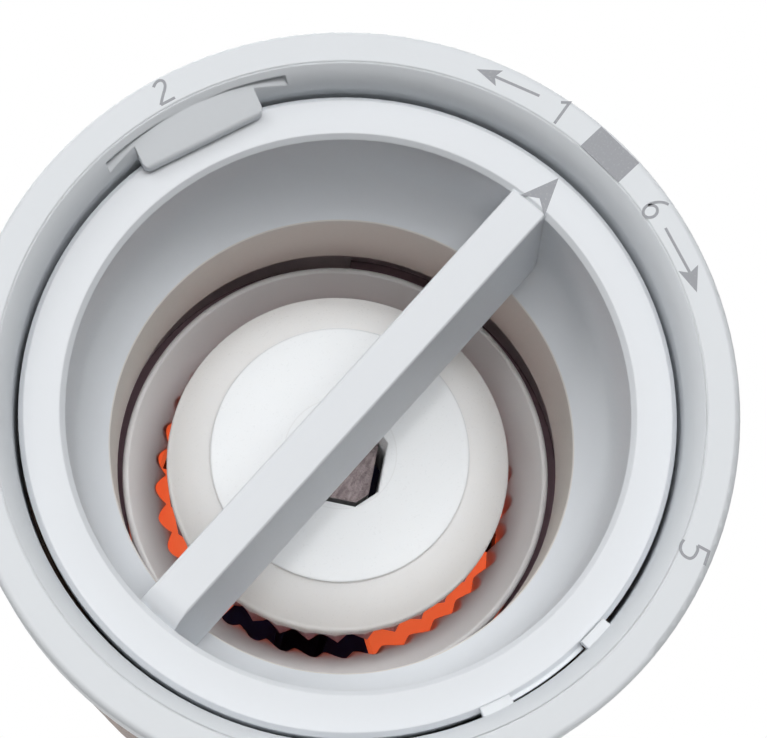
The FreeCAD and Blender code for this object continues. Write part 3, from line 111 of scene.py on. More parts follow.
class Graph:
    """Writes nodes and links into one shader tree."""

    def __init__(self, tree: bpy.types.NodeTree) -> None:
        """Keep the tree that the nodes go into.

        Args:
            tree: node tree of a material, a world or a group.
        """
        self.tree = tree

    @classmethod
    def fresh(cls, owner: bpy.types.ID) -> Graph:
        """Start an empty tree in a material or a world.

        Args:
            owner: the material or world.

        Returns:
            The writer of its tree.
        """
        owner.use_nodes = True
        owner.node_tree.nodes.clear()
        return cls(owner.node_tree)

    def wire(self, node: bpy.types.Node, inputs: dict) -> None:
        """Link or set a node's inputs.

        Args:
            node: the node.
            inputs: values or source sockets by the name or place of the input.
        """
        for key, value in inputs.items():
            if isinstance(value, Socket):
                self.tree.links.new(value, node.inputs[key])
            else:
                node.inputs[key].default_value = value

    def node(self, kind: str, inputs: dict | None = None, **settings: object) -> bpy.types.Node:
        """Add a node.

        Args:
            kind: Blender's name of the node's type.
            inputs: values or source sockets by the name or place of the input.
            settings: properties of the node itself.

        Returns:
            The new node.
        """
        node = self.tree.nodes.new(kind)
        for name, value in settings.items():
            setattr(node, name, value)
        self.wire(node, inputs or {})
        return node

    def math(self, operation: str, *values: object, clamp: bool = False) -> Socket:
        """Add a Math node and give its result.

        Args:
            operation: Blender's name of the operation.
            values: numbers or sockets.
            clamp: keep the result between 0 and 1.

        Returns:
            The result socket.
        """
        inputs = dict(enumerate(values))
        return self.node("ShaderNodeMath", inputs, operation=operation, use_clamp=clamp).outputs[0]

    def times(self, first: object, second: object) -> Socket:
        """Multiply two numbers or sockets."""
        return self.math("MULTIPLY", first, second)

    def plus(self, first: object, second: object) -> Socket:
        """Add two numbers or sockets."""
        return self.math("ADD", first, second)

    def vector_math(self, operation: str, *values: object) -> bpy.types.Node:
        """Add a Vector Math node."""
        return self.node("ShaderNodeVectorMath", dict(enumerate(values)), operation=operation)

    def vector(self, x: object, y: object = 0.0, z: object = 0.0) -> Socket:
        """Join three numbers or sockets into a vector."""
        return self.node("ShaderNodeCombineXYZ", {0: x, 1: y, 2: z}).outputs[0]

    def scaled(self, colour: object, factor: Socket) -> Socket:
        """Multiply a colour by a factor."""
        return self.node("ShaderNodeVectorMath", {0: colour, "Scale": factor}, operation="SCALE").outputs[0]

    def bump(self, height: Socket, distance: object, normal: Socket, strength: float = 1.0) -> Socket:
        """Bend a normal by a height.

        Args:
            height: height socket, round 0 to 1.
            distance: what a height of 1 stands for, in metres.
            normal: the normal to bend.
            strength: share of the bend.

        Returns:
            The bent normal.
        """
        inputs = {"Height": height, "Distance": distance, "Normal": normal, "Strength": strength}
        return self.node("ShaderNodeBump", inputs).outputs[0]

    def span(
        self, value: object, low: object, high: object, to_low: float = 0.0, to_high: float = 1.0
    ) -> Socket:
        """Map a value smoothly from one range to another.

        Args:
            value: source socket.
            low: value or socket that gives to_low.
            high: value or socket that gives to_high.
            to_low: first result.
            to_high: last result.

        Returns:
            The mapped socket.
        """
        inputs = {"Value": value, "From Min": low, "From Max": high, "To Min": to_low, "To Max": to_high}
        return self.node("ShaderNodeMapRange", inputs, interpolation_type="SMOOTHSTEP").outputs[0]

    def mix(self, factor: object, first: object, second: object) -> Socket:
        """Mix two colours.

        Args:
            factor: share of the second colour.
            first: colour or socket.
            second: colour or socket.

        Returns:
            The mixed colour's socket.
        """
        inputs = {0: factor, 6: opaque(first), 7: opaque(second)}
        return self.node("ShaderNodeMix", inputs, data_type="RGBA").outputs[2]

    def noise(self, where: object, scale: object, detail: float = 3.0, roughness: float = 0.5) -> Socket:
        """Add a noise texture.

        Args:
            where: coordinate socket.
            scale: features in a metre.
            detail: octaves.
            roughness: strength of the finer octaves.

        Returns:
            The noise's value socket.
        """
        inputs = {"Vector": where, "Scale": scale, "Detail": detail, "Roughness": roughness}
        return self.node("ShaderNodeTexNoise", inputs).outputs[0]

    def place(self) -> Socket:
        """Coordinates of the mill in metres."""
        return self.node("ShaderNodeTexCoord").outputs["Object"]

    def parts(self, vector: object) -> tuple[Socket, ...]:
        """Split a vector into X, Y and Z sockets."""
        return tuple(self.node("ShaderNodeSeparateXYZ", {0: vector}).outputs)

    def round_axis(self) -> tuple[Socket, Socket]:
        """Measure where a point lies.

        Returns:
            Its distance from the mill's axis and its height.
        """
        x, y, z = self.parts(self.place())
        square = self.plus(self.times(x, x), self.times(y, y))
        return self.math("SQRT", square), z

    def group(self, effect: Effect, **values: object) -> bpy.types.Node:
        """Place a shared effect.

        Args:
            effect: the effect to place.
            values: input values or sockets, by the input's name in small letters.

        Returns:
            The group node.
        """
        node = self.tree.nodes.new("ShaderNodeGroup")
        node.node_tree = effect.tree()
        self.wire(node, {name.capitalize(): value for name, value in values.items()})
        return node


def opaque(colour: object) -> object:
    """Give a plain colour its fourth number."""
    return (*colour, 1.0) if isinstance(colour, tuple) and len(colour) == 3 else colour


class Effect:
    """Shader group that several finishes share, built once."""

    title = "effect"
    takes: tuple[Port, ...] = ()
    gives: tuple[Port, ...] = ()

    def tree(self) -> bpy.types.NodeTree:
        """Find the group, or build it.

        Returns:
            The group's node tree.
        """
        known = bpy.data.node_groups.get(self.title)
        if known:
            return known
        tree = bpy.data.node_groups.new(self.title, "ShaderNodeTree")
        for port in self.takes:
            socket = tree.interface.new_socket(name=port.name, in_out="INPUT", socket_type=port.kind.value)
            if port.kind is PortKind.NUMBER:
                socket.default_value = port.start
            if port.kind is PortKind.DIRECTION:
                socket.hide_value = True
        for port in self.gives:
            tree.interface.new_socket(name=port.name, in_out="OUTPUT", socket_type=port.kind.value)
        graph = Graph(tree)
        source = graph.node("NodeGroupInput")
        results = self.fill(graph, source.outputs)
        graph.node("NodeGroupOutput", results)
        return tree

    def fill(self, graph: Graph, given: bpy.types.NodeOutputs) -> dict:
        """Write the group's nodes.

        Args:
            graph: the group's tree.
            given: the group's input sockets.

        Returns:
            Result sockets by output name.
        """
        raise NotImplementedError


class SoftEdge(Effect):
    """Rounded look of a moulded or worked edge, and a mask of where the edges are."""

    title = "soft_edge"
    takes = (Port("Radius", start=0.2 * MM),)
    gives = (NORMAL, Port("Edge"))
    samples = 4
    flat_turn = 0.99
    sharp_turn = 0.7

    def fill(self, graph: Graph, given: bpy.types.NodeOutputs) -> dict:
        """Write the bevelled normal and the edge mask.

        Args:
            graph: the group's tree.
            given: the group's input sockets.

        Returns:
            Result sockets by output name.
        """
        bevel = graph.node("ShaderNodeBevel", {"Radius": given["Radius"]}, samples=self.samples)
        plain = graph.node("ShaderNodeNewGeometry").outputs["Normal"]
        turn = graph.vector_math("DOT_PRODUCT", bevel.outputs[0], plain)
        edge = graph.span(turn.outputs["Value"], self.flat_turn, self.sharp_turn)
        return {"Normal": bevel.outputs[0], "Edge": edge}


class Grain(Effect):
    """Fine grain of a moulding tool or of fired ceramic, as a normal and as a value round 0.5."""

    title = "grain"
    takes = (NORMAL, Port("Scale", start=3000.0), Port("Depth", start=0.01 * MM))
    gives = (NORMAL, Port("Value"))
    coarse_scale = 0.08
    coarse_share = 1.5

    def fill(self, graph: Graph, given: bpy.types.NodeOutputs) -> dict:
        """Write two sizes of grain and bend the normal by them.

        Args:
            graph: the group's tree.
            given: the group's input sockets.

        Returns:
            Result sockets by output name.
        """
        where = graph.place()
        fine = graph.noise(where, given["Scale"], detail=2.0)
        coarse = graph.noise(where, graph.times(given["Scale"], self.coarse_scale))
        height = graph.plus(fine, graph.times(coarse, self.coarse_share))
        return {"Normal": graph.bump(height, given["Depth"], given["Normal"]), "Value": fine}


class Mottle(Effect):
    """Slow unevenness of a colour, as a factor round 1."""

    title = "mottle"
    takes = (Port("Scale", start=60.0), Port("Amount", start=0.03))
    gives = (Port("Factor"),)

    def fill(self, graph: Graph, given: bpy.types.NodeOutputs) -> dict:
        """Write the uneven factor.

        Args:
            graph: the group's tree.
            given: the group's input sockets.

        Returns:
            Result sockets by output name.
        """
        cloud = graph.noise(graph.place(), given["Scale"], detail=4.0, roughness=0.6)
        lean = graph.times(graph.math("SUBTRACT", cloud, NOISE_MEAN), 2.0)
        return {"Factor": graph.plus(1.0, graph.times(lean, given["Amount"]))}


class Crevice(Effect):
    """Mask of corners and narrow gaps from ambient occlusion, where dust and fine salt settle and where shade
    is painted as a darker colour.
    """

    title = "crevice"
    takes = (Port("Reach", start=2.0 * MM),)
    gives = (Port("Mask"),)
    samples = 4
    open_shade = 0.15
    deep_shade = 0.8
    patch_scale = 900.0
    patch_low = 0.3
    patch_high = 0.7

    def fill(self, graph: Graph, given: bpy.types.NodeOutputs) -> dict:
        """Write the mask from how closed in the surface is.

        Args:
            graph: the group's tree.
            given: the group's input sockets.

        Returns:
            Result sockets by output name.
        """
        inputs = {"Distance": given["Reach"]}
        closed = graph.node("ShaderNodeAmbientOcclusion", inputs, samples=self.samples, only_local=True)
        patchy = graph.noise(graph.place(), self.patch_scale, detail=4.0)
        shade = graph.math("SUBTRACT", 1.0, closed.outputs["AO"])
        settled = graph.span(shade, self.open_shade, self.deep_shade)
        return {"Mask": graph.times(settled, graph.span(patchy, self.patch_low, self.patch_high))}


class DepthMask(Effect):
    """Mask that grows with height between two levels inside a given radius."""

    title = "depth_mask"
    takes = (Port("Low"), Port("High", start=10.0 * MM), Port("Radius", start=20.0 * MM))
    gives = (Port("Mask"),)

    def fill(self, graph: Graph, given: bpy.types.NodeOutputs) -> dict:
        """Write the mask from the height and the distance from the axis.

        Args:
            graph: the group's tree.
            given: the group's input sockets.

        Returns:
            Result sockets by output name.
        """
        radius, height = graph.round_axis()
        rise = graph.span(height, given["Low"], given["High"])
        return {"Mask": graph.times(rise, graph.math("LESS_THAN", radius, given["Radius"]))}


class FacesAxis(Effect):
    """Mask of the surfaces that look towards the mill's axis: the walls of its bores."""

    title = "faces_axis"
    takes = (Port("Least", start=0.3),)
    gives = (Port("Mask"),)

    def fill(self, graph: Graph, given: bpy.types.NodeOutputs) -> dict:
        """Write the mask from the normal and the direction to the axis.

        Args:
            graph: the group's tree.
            given: the group's input sockets.

        Returns:
            Result sockets by output name.
        """
        place = graph.node("ShaderNodeTexCoord")
        level = graph.vector_math("MULTIPLY", place.outputs["Object"], (1.0, 1.0, 0.0)).outputs[0]
        outward = graph.vector_math("NORMALIZE", level).outputs[0]
        lean = graph.vector_math("DOT_PRODUCT", outward, place.outputs["Normal"]).outputs["Value"]
        return {"Mask": graph.math("LESS_THAN", lean, graph.times(given["Least"], -1.0))}


class TurnedLines(Effect):
    """Fine rings that a lathe or a polishing wheel leaves round the mill's axis."""

    title = "turned_lines"
    takes = (NORMAL, Port("Spacing", start=0.3 * MM), Port("Depth", start=0.01 * MM))
    gives = (NORMAL,)

    def fill(self, graph: Graph, given: bpy.types.NodeOutputs) -> dict:
        """Write rings that depend on radius and height alone.

        Args:
            graph: the group's tree.
            given: the group's input sockets.

        Returns:
            Result sockets by output name.
        """
        radius, height = graph.round_axis()
        pitch = graph.math("DIVIDE", 1.0, given["Spacing"])
        rings = graph.noise(graph.vector(radius, height), pitch, roughness=0.7)
        return {"Normal": graph.bump(rings, given["Depth"], given["Normal"])}


class WoodGrain(Effect):
    """Figure, pores and height of close grained wood with its fibres along the mill."""

    title = "wood_grain"
    takes = (Port("Scale", start=1.0),)
    gives = (Port("Figure"), Port("Pores"), Port("Height"))
    pith_aside = 34.0 * MM
    pith_behind = 11.0 * MM
    bend = 12.0 * MM
    bend_scale = 18.0
    slope = 0.05
    ring_rate = 2600.0
    ring_share = 0.18
    fibre_scale = 2600.0
    fibre_stretch = 0.035
    fibre_low = 0.25
    fibre_high = 0.75
    figure_low = 0.2
    figure_high = 0.8
    pore_scale = 5200.0
    pore_stretch = 0.12
    pore_low = 0.64
    pore_high = 0.72
    fibre_height = 0.4
    pore_depth = 0.6

    def fill(self, graph: Graph, given: bpy.types.NodeOutputs) -> dict:
        """Write the year rings, the fibres and the pores.

        Args:
            graph: the group's tree.
            given: the group's input sockets.

        Returns:
            Result sockets by output name.
        """
        x, y, z = graph.parts(graph.place())
        bend = graph.noise(graph.place(), self.bend_scale, detail=2.0)
        drift = graph.times(graph.math("SUBTRACT", bend, NOISE_MEAN), self.bend)
        across = graph.plus(graph.plus(x, self.pith_aside), drift)
        centre = graph.vector(across, graph.plus(y, self.pith_behind), graph.times(z, self.slope))
        reach = graph.vector_math("LENGTH", centre).outputs["Value"]
        rings = graph.math("SINE", graph.times(reach, graph.times(given["Scale"], self.ring_rate)))
        stretched = graph.vector(x, y, graph.times(z, self.fibre_stretch))
        fibres = graph.noise(stretched, self.fibre_scale, detail=4.0, roughness=0.6)
        short = graph.vector(x, y, graph.times(z, self.pore_stretch))
        pores = graph.span(graph.noise(short, self.pore_scale, detail=1.0), self.pore_low, self.pore_high)
        plain = graph.span(fibres, self.fibre_low, self.fibre_high, self.figure_low, self.figure_high)
        figure = graph.plus(graph.times(rings, self.ring_share), plain)
        raised = graph.times(fibres, self.fibre_height)
        height = graph.math("SUBTRACT", raised, graph.times(pores, self.pore_depth))
        return {"Figure": figure, "Pores": pores, "Height": height}


SOFT_EDGE = SoftEdge()
GRAIN = Grain()
MOTTLE = Mottle()
CREVICE = Crevice()
DEPTH_MASK = DepthMask()
FACES_AXIS = FacesAxis()
TURNED_LINES = TurnedLines()
WOOD_GRAIN = WoodGrain()


@dataclass(frozen=True)
class Finish:
    """What a surface is made of, and how it is worked."""

    name: str
    colour: Colour
    roughness: float
    grain_low = 0.2
    grain_high = 0.8

    def material(self) -> bpy.types.Material:
        """Build the material.

        Returns:
            The new material.
        """
        material = bpy.data.materials.new(self.name)
        graph = Graph.fresh(material)
        inputs = {"Base Color": opaque(self.colour), "Roughness": self.roughness}
        shader = graph.node("ShaderNodeBsdfPrincipled", inputs)
        graph.node("ShaderNodeOutputMaterial", {"Surface": shader.outputs[0]})
        self.work(graph, shader)
        return material

    def work(self, graph: Graph, shader: bpy.types.Node) -> None:
        """Add what this finish shows on its surface.

        Args:
            graph: the material's tree.
            shader: its Principled shader.
        """
        raise NotImplementedError

    def spread(self, graph: Graph, grain: bpy.types.Node, smoother: float, rougher: float) -> Socket:
        """Let the roughness follow the grain.

        Args:
            graph: the material's tree.
            grain: the placed grain.
            smoother: how far the roughness goes below its middle.
            rougher: how far it goes above.

        Returns:
            The uneven roughness.
        """
        low, high = self.roughness - smoother, self.roughness + rougher
        return graph.span(grain.outputs["Value"], self.grain_low, self.grain_high, low, high)


@dataclass(frozen=True)
class PaintedDeepShade:
    """Painted shade: a darker second colour of a surface, deeper in the mill and inside a radius, where shade
    falls; warmer where it also paints reflected warm light.
    """

    colour: Colour
    low: float
    high: float
    radius: float

    def mask(self, graph: Graph, radius: float) -> Socket:
        """Mask of what lies deep enough inside a radius."""
        return graph.group(DEPTH_MASK, low=self.low, high=self.high, radius=radius).outputs["Mask"]


@dataclass(frozen=True)
class MouldedPlastic(Finish):
    """Injection moulded plastic with satin grain, rounded edges, and dust with painted shade in its corners.
    """

    grain_scale: float = 2600.0
    grain_depth: float = 0.004 * MM
    edge_radius: float = 0.18 * MM
    edge_polish: float = 0.1
    mottle: float = 0.012
    mottle_scale: float = 70.0
    # Colour of dust and painted shade in corners.
    dust_and_shade: Colour = (0.52, 0.5, 0.46)
    dust_and_shade_share: float = 0.25
    dust_and_shade_reach: float = 1.6 * MM
    smoother: float = 0.05
    rougher: float = 0.07
    specular: float = 0.3
    # Strength of a painted glow: emission from a part that is no lamp.
    painted_glow: float = 0.0
    painted_shade: PaintedDeepShade | None = None

    def work(self, graph: Graph, shader: bpy.types.Node) -> None:
        """Add grain, soft edges, unevenness, dust with painted shade in corners, the painted deeper shade and
        a painted glow.

        Args:
            graph: the material's tree.
            shader: its Principled shader.
        """
        edge = graph.group(SOFT_EDGE, radius=self.edge_radius)
        bent = edge.outputs["Normal"]
        grain = graph.group(GRAIN, normal=bent, scale=self.grain_scale, depth=self.grain_depth)
        uneven = graph.group(MOTTLE, scale=self.mottle_scale, amount=self.mottle)
        corner = graph.group(CREVICE, reach=self.dust_and_shade_reach)
        colour = opaque(self.colour)
        # Painted shade: deep inside the mill the colour turns to a darker second colour, warmer where it also
        # paints reflected warm light.
        if self.painted_shade:
            colour = graph.mix(self.painted_shade.mask(graph, self.painted_shade.radius), colour, self.painted_shade.colour)
        # Dust and painted shade: corners and narrow gaps turn darker by ambient occlusion.
        dust_and_shade_colour = graph.mix(graph.times(corner.outputs["Mask"], self.dust_and_shade_share), colour, self.dust_and_shade)
        spread = self.spread(graph, grain, self.smoother, self.rougher)
        graph.wire(shader, {
            "Base Color": graph.scaled(dust_and_shade_colour, uneven.outputs[0]),
            "Roughness": graph.math("SUBTRACT", spread, graph.times(edge.outputs["Edge"], self.edge_polish)),
            "Normal": grain.outputs["Normal"],
            "Specular IOR Level": self.specular,
            # Painted glow: the plastic emits its own colour, though it is no lamp.
            "Emission Color": opaque(self.colour),
            "Emission Strength": self.painted_glow,
        })


@dataclass(frozen=True)
class FiredCeramic(Finish):
    """Unglazed technical ceramic: fine grain, faint grinding rings, a ground face painted darker as shade,
    and teeth with painted shade and painted warm reflected light.
    """

    teeth: PaintedDeepShade
    core_radius: float = 0.0
    # Colour of the ground face, darker as painted shade.
    ground: Colour = (0.8, 0.82, 0.835)
    ground_level: float = 0.0
    glow: float = 1.2 * MM
    glow_share: float = 0.25
    glow_spread: Colour = (1.0, 0.96, 0.92)
    specular: float = 0.4
    smoother: float = 0.04
    rougher: float = 0.06
    edge_radius: float = 0.25 * MM
    ring_spacing: float = 0.35 * MM
    ring_depth: float = 0.0012 * MM
    grain_scale: float = 5200.0
    grain_depth: float = 0.0025 * MM
    mottle: float = 0.015
    mottle_scale: float = 160.0
    # Colour of dust and painted shade in corners.
    dust_and_shade: Colour = (0.5, 0.42, 0.38)
    dust_and_shade_share: float = 0.15
    dust_and_shade_reach: float = 1.2 * MM
    mark: Colour = (0.45, 0.44, 0.42)
    mark_share: float = 0.16
    mark_radius: float = 0.0
    mark_width: float = 0.09 * MM

    def work(self, graph: Graph, shader: bpy.types.Node) -> None:
        """Add grain, grinding rings, the painted shade of the ground face, the painted shade and warm
        reflection of the teeth, dust with painted shade in corners, and the tool mark.

        Args:
            graph: the material's tree.
            shader: its Principled shader.
        """
        edge = graph.group(SOFT_EDGE, radius=self.edge_radius)
        bent = edge.outputs["Normal"]
        rings = graph.group(TURNED_LINES, normal=bent, spacing=self.ring_spacing, depth=self.ring_depth)
        bent = rings.outputs["Normal"]
        grain = graph.group(GRAIN, normal=bent, scale=self.grain_scale, depth=self.grain_depth)
        uneven = graph.group(MOTTLE, scale=self.mottle_scale, amount=self.mottle)
        corner = graph.group(CREVICE, reach=self.dust_and_shade_reach)
        # Painted shade on the teeth: deep in the bore they turn darker, and warmer where it paints reflected
        # warm light; the core is left out.
        teeth_shade_mask = self.teeth.mask(graph, self.teeth.radius)
        core = self.teeth.mask(graph, self.core_radius)
        colour = graph.mix(graph.math("SUBTRACT", teeth_shade_mask, core), self.colour, self.teeth.colour)
        # Painted shade: the ground face below its level is painted darker.
        if self.ground_level:
            _, _, height = graph.parts(graph.place())
            colour = graph.mix(graph.math("LESS_THAN", height, self.ground_level), colour, self.ground)
        # Dust and painted shade: corners and narrow gaps turn darker by ambient occlusion.
        dust_and_shade_colour = graph.mix(graph.times(corner.outputs["Mask"], self.dust_and_shade_share), colour, self.dust_and_shade)
        if self.mark_radius:
            radius, _ = graph.round_axis()
            off = graph.math("ABSOLUTE", graph.math("SUBTRACT", radius, self.mark_radius))
            mark = graph.span(off, self.mark_width, 0.0, 0.0, self.mark_share)
            dust_and_shade_colour = graph.mix(mark, dust_and_shade_colour, self.mark)
        graph.wire(shader, {
            "Base Color": graph.scaled(dust_and_shade_colour, uneven.outputs[0]),
            "Roughness": self.spread(graph, grain, self.smoother, self.rougher),
            "Normal": grain.outputs["Normal"],
            "Specular IOR Level": self.specular,
            "Subsurface Weight": self.glow_share,
            "Subsurface Radius": self.glow_spread,
            "Subsurface Scale": self.glow,
        })


@dataclass(frozen=True)
class StainedWood(Finish):
    """Turned wood, stained dark under a thin satin lacquer, with its bore painted dark navy as shade."""

    light: Colour = (0.18, 0.085, 0.044)
    pore: Colour = (0.025, 0.012, 0.008)
    pore_share: float = 0.75
    pore_roughness: float = 0.25
    # Colour of the bore walls: painted shade of the mill's dark inside.
    bore: Colour = (0.012, 0.012, 0.028)
    wear_share: float = 0.3
    edge_radius: float = 0.5 * MM
    mottle: float = 0.12
    mottle_scale: float = 45.0
    line_spacing: float = 0.5 * MM
    line_depth: float = 0.004 * MM
    fibre_depth: float = 0.02 * MM
    fibre_strength: float = 0.8
    specular: float = 0.2
    lacquer: float = 0.06
    lacquer_roughness: float = 0.3

    def work(self, graph: Graph, shader: bpy.types.Node) -> None:
        """Add the grain, the turning lines, the worn edges and the bore painted dark as shade.

        Args:
            graph: the material's tree.
            shader: its Principled shader.
        """
        edge = graph.group(SOFT_EDGE, radius=self.edge_radius)
        wood = graph.group(WOOD_GRAIN)
        uneven = graph.group(MOTTLE, scale=self.mottle_scale, amount=self.mottle)
        figure = graph.math("MULTIPLY", wood.outputs["Figure"], uneven.outputs[0], clamp=True)
        stain = graph.mix(figure, self.colour, self.light)
        pored = graph.mix(graph.times(wood.outputs["Pores"], self.pore_share), stain, self.pore)
        worn = graph.mix(graph.times(edge.outputs["Edge"], self.wear_share), pored, self.light)
        bent = edge.outputs["Normal"]
        lines = graph.group(TURNED_LINES, normal=bent, spacing=self.line_spacing, depth=self.line_depth)
        bent = lines.outputs["Normal"]
        # The bore walls are painted dark navy as shade.
        graph.wire(shader, {
            "Base Color": graph.mix(graph.group(FACES_AXIS).outputs["Mask"], worn, self.bore),
            "Roughness": graph.plus(self.roughness, graph.times(wood.outputs["Pores"], self.pore_roughness)),
            "Normal": graph.bump(wood.outputs["Height"], self.fibre_depth, bent, self.fibre_strength),
            "Specular IOR Level": self.specular,
            "Coat Weight": self.lacquer,
            "Coat Roughness": self.lacquer_roughness,
        })


class ToolMarks(Enum):
    """How the marks of a tool run on a metal surface."""

    ROUND = "round the axis, as from a lathe or a polishing wheel"
    ALONG = "along the axis, as from drawing"


@dataclass(frozen=True)
class Metal(Finish):
    """Bare or plated metal, with a sawn face below a height if one is given."""

    marks: ToolMarks = ToolMarks.ALONG
    edge_radius: float = 0.12 * MM
    mottle: float = 0.08
    mottle_scale: float = 220.0
    line_spacing: float = 0.12 * MM
    line_depth: float = 0.002 * MM
    streak_scale: float = 5200.0
    streak_stretch: float = 0.02
    sawn_below: float = 0.0
    sawn_colour: Colour = (0.42, 0.36, 0.36)
    sawn_shade: Colour = (0.2, 0.16, 0.17)
    sawn_depth: float = 0.22 * MM
    sawn_roughness: float = 0.55
    sawn_way: Point = (0.25, 0.97)
    score_scale: float = 2600.0
    score_stretch: float = 0.22
    chip_scale: float = 1500.0
    shade_low: float = 0.7
    shade_high: float = 1.3

    def work(self, graph: Graph, shader: bpy.types.Node) -> None:
        """Add the marks of the tool, soft edges and slight stains.

        Args:
            graph: the material's tree.
            shader: its Principled shader.
        """
        edge = graph.group(SOFT_EDGE, radius=self.edge_radius)
        bent = edge.outputs["Normal"]
        uneven = graph.group(MOTTLE, scale=self.mottle_scale, amount=self.mottle)
        colour = graph.scaled(self.colour, uneven.outputs[0])
        rough = graph.times(uneven.outputs[0], self.roughness)
        if self.marks is ToolMarks.ROUND:
            lines = graph.group(TURNED_LINES, normal=bent, spacing=self.line_spacing, depth=self.line_depth)
            bent = lines.outputs["Normal"]
        else:
            x, y, z = graph.parts(graph.place())
            where = graph.vector(x, y, graph.times(z, self.streak_stretch))
            bent = graph.bump(graph.noise(where, self.streak_scale), self.line_depth, bent)
        if self.sawn_below:
            colour, rough, bent = self.sawn_end(graph, colour, rough, bent)
        graph.wire(shader, {"Base Color": colour, "Metallic": 1.0, "Roughness": rough, "Normal": bent})

    def sawn_end(self, graph: Graph, colour: Socket, rough: Socket, bent: Socket) -> tuple[Socket, ...]:
        """Put a coarse sawn face below a height.

        Args:
            graph: the material's tree.
            colour: colour elsewhere.
            rough: roughness elsewhere.
            bent: normal elsewhere.

        Returns:
            Colour, roughness and normal with the sawn face.
        """
        x, y, z = graph.parts(graph.place())
        mask = graph.math("LESS_THAN", z, self.sawn_below)
        first, second = self.sawn_way
        across = graph.plus(graph.times(x, first), graph.times(y, second))
        along = graph.plus(graph.times(x, second), graph.times(y, -first))
        where = graph.vector(across, graph.times(along, self.score_stretch))
        scores = graph.noise(where, self.score_scale, detail=5.0, roughness=0.65)
        chips = graph.noise(graph.place(), self.chip_scale, detail=4.0, roughness=0.7)
        height = graph.plus(scores, chips)
        hollows = graph.span(height, self.shade_low, self.shade_high)
        shade = graph.mix(hollows, self.sawn_shade, self.sawn_colour)
        coarse = graph.math("MAXIMUM", rough, graph.times(mask, self.sawn_roughness))
        bent = graph.bump(height, graph.times(mask, self.sawn_depth), bent)
        return graph.mix(mask, colour, shade), coarse, bent


@dataclass(frozen=True)
class Rubber(Finish):
    """Matt moulded rubber with a bloom."""

    bloom: Colour = (0.12, 0.12, 0.12)
    bloom_share: float = 0.25
    edge_radius: float = 0.1 * MM
    grain_scale: float = 4200.0
    grain_depth: float = 0.01 * MM
    mottle: float = 0.2
    mottle_scale: float = 400.0

    def work(self, graph: Graph, shader: bpy.types.Node) -> None:
        """Add grain and bloom.

        Args:
            graph: the material's tree.
            shader: its Principled shader.
        """
        edge = graph.group(SOFT_EDGE, radius=self.edge_radius)
        bent = edge.outputs["Normal"]
        grain = graph.group(GRAIN, normal=bent, scale=self.grain_scale, depth=self.grain_depth)
        uneven = graph.group(MOTTLE, scale=self.mottle_scale, amount=self.mottle)
        cover = graph.times(grain.outputs["Value"], self.bloom_share)
        colour = graph.scaled(graph.mix(cover, self.colour, self.bloom), uneven.outputs[0])
        graph.wire(shader, {"Base Color": colour, "Normal": grain.outputs["Normal"]})


@dataclass(frozen=True)
class PrintInk(Finish):
    """Thin grey pad print, slightly worn."""

    bare: Colour = (0.72, 0.74, 0.76)
    bare_share: float = 0.35
    cover_scale: float = 5200.0
    cover_low: float = 0.52
    cover_high: float = 0.82
    grain_scale: float = 3000.0
    grain_depth: float = 0.002 * MM

    def work(self, graph: Graph, shader: bpy.types.Node) -> None:
        """Add the uneven cover of the ink.

        Args:
            graph: the material's tree.
            shader: its Principled shader.
        """
        cover = graph.noise(graph.place(), self.cover_scale, detail=4.0, roughness=0.7)
        thin = graph.span(cover, self.cover_low, self.cover_high, 0.0, self.bare_share)
        plain = graph.node("ShaderNodeNewGeometry").outputs["Normal"]
        grain = graph.group(GRAIN, normal=plain, scale=self.grain_scale, depth=self.grain_depth)
        worn = graph.mix(thin, self.colour, self.bare)
        graph.wire(shader, {"Base Color": worn, "Normal": grain.outputs["Normal"]})


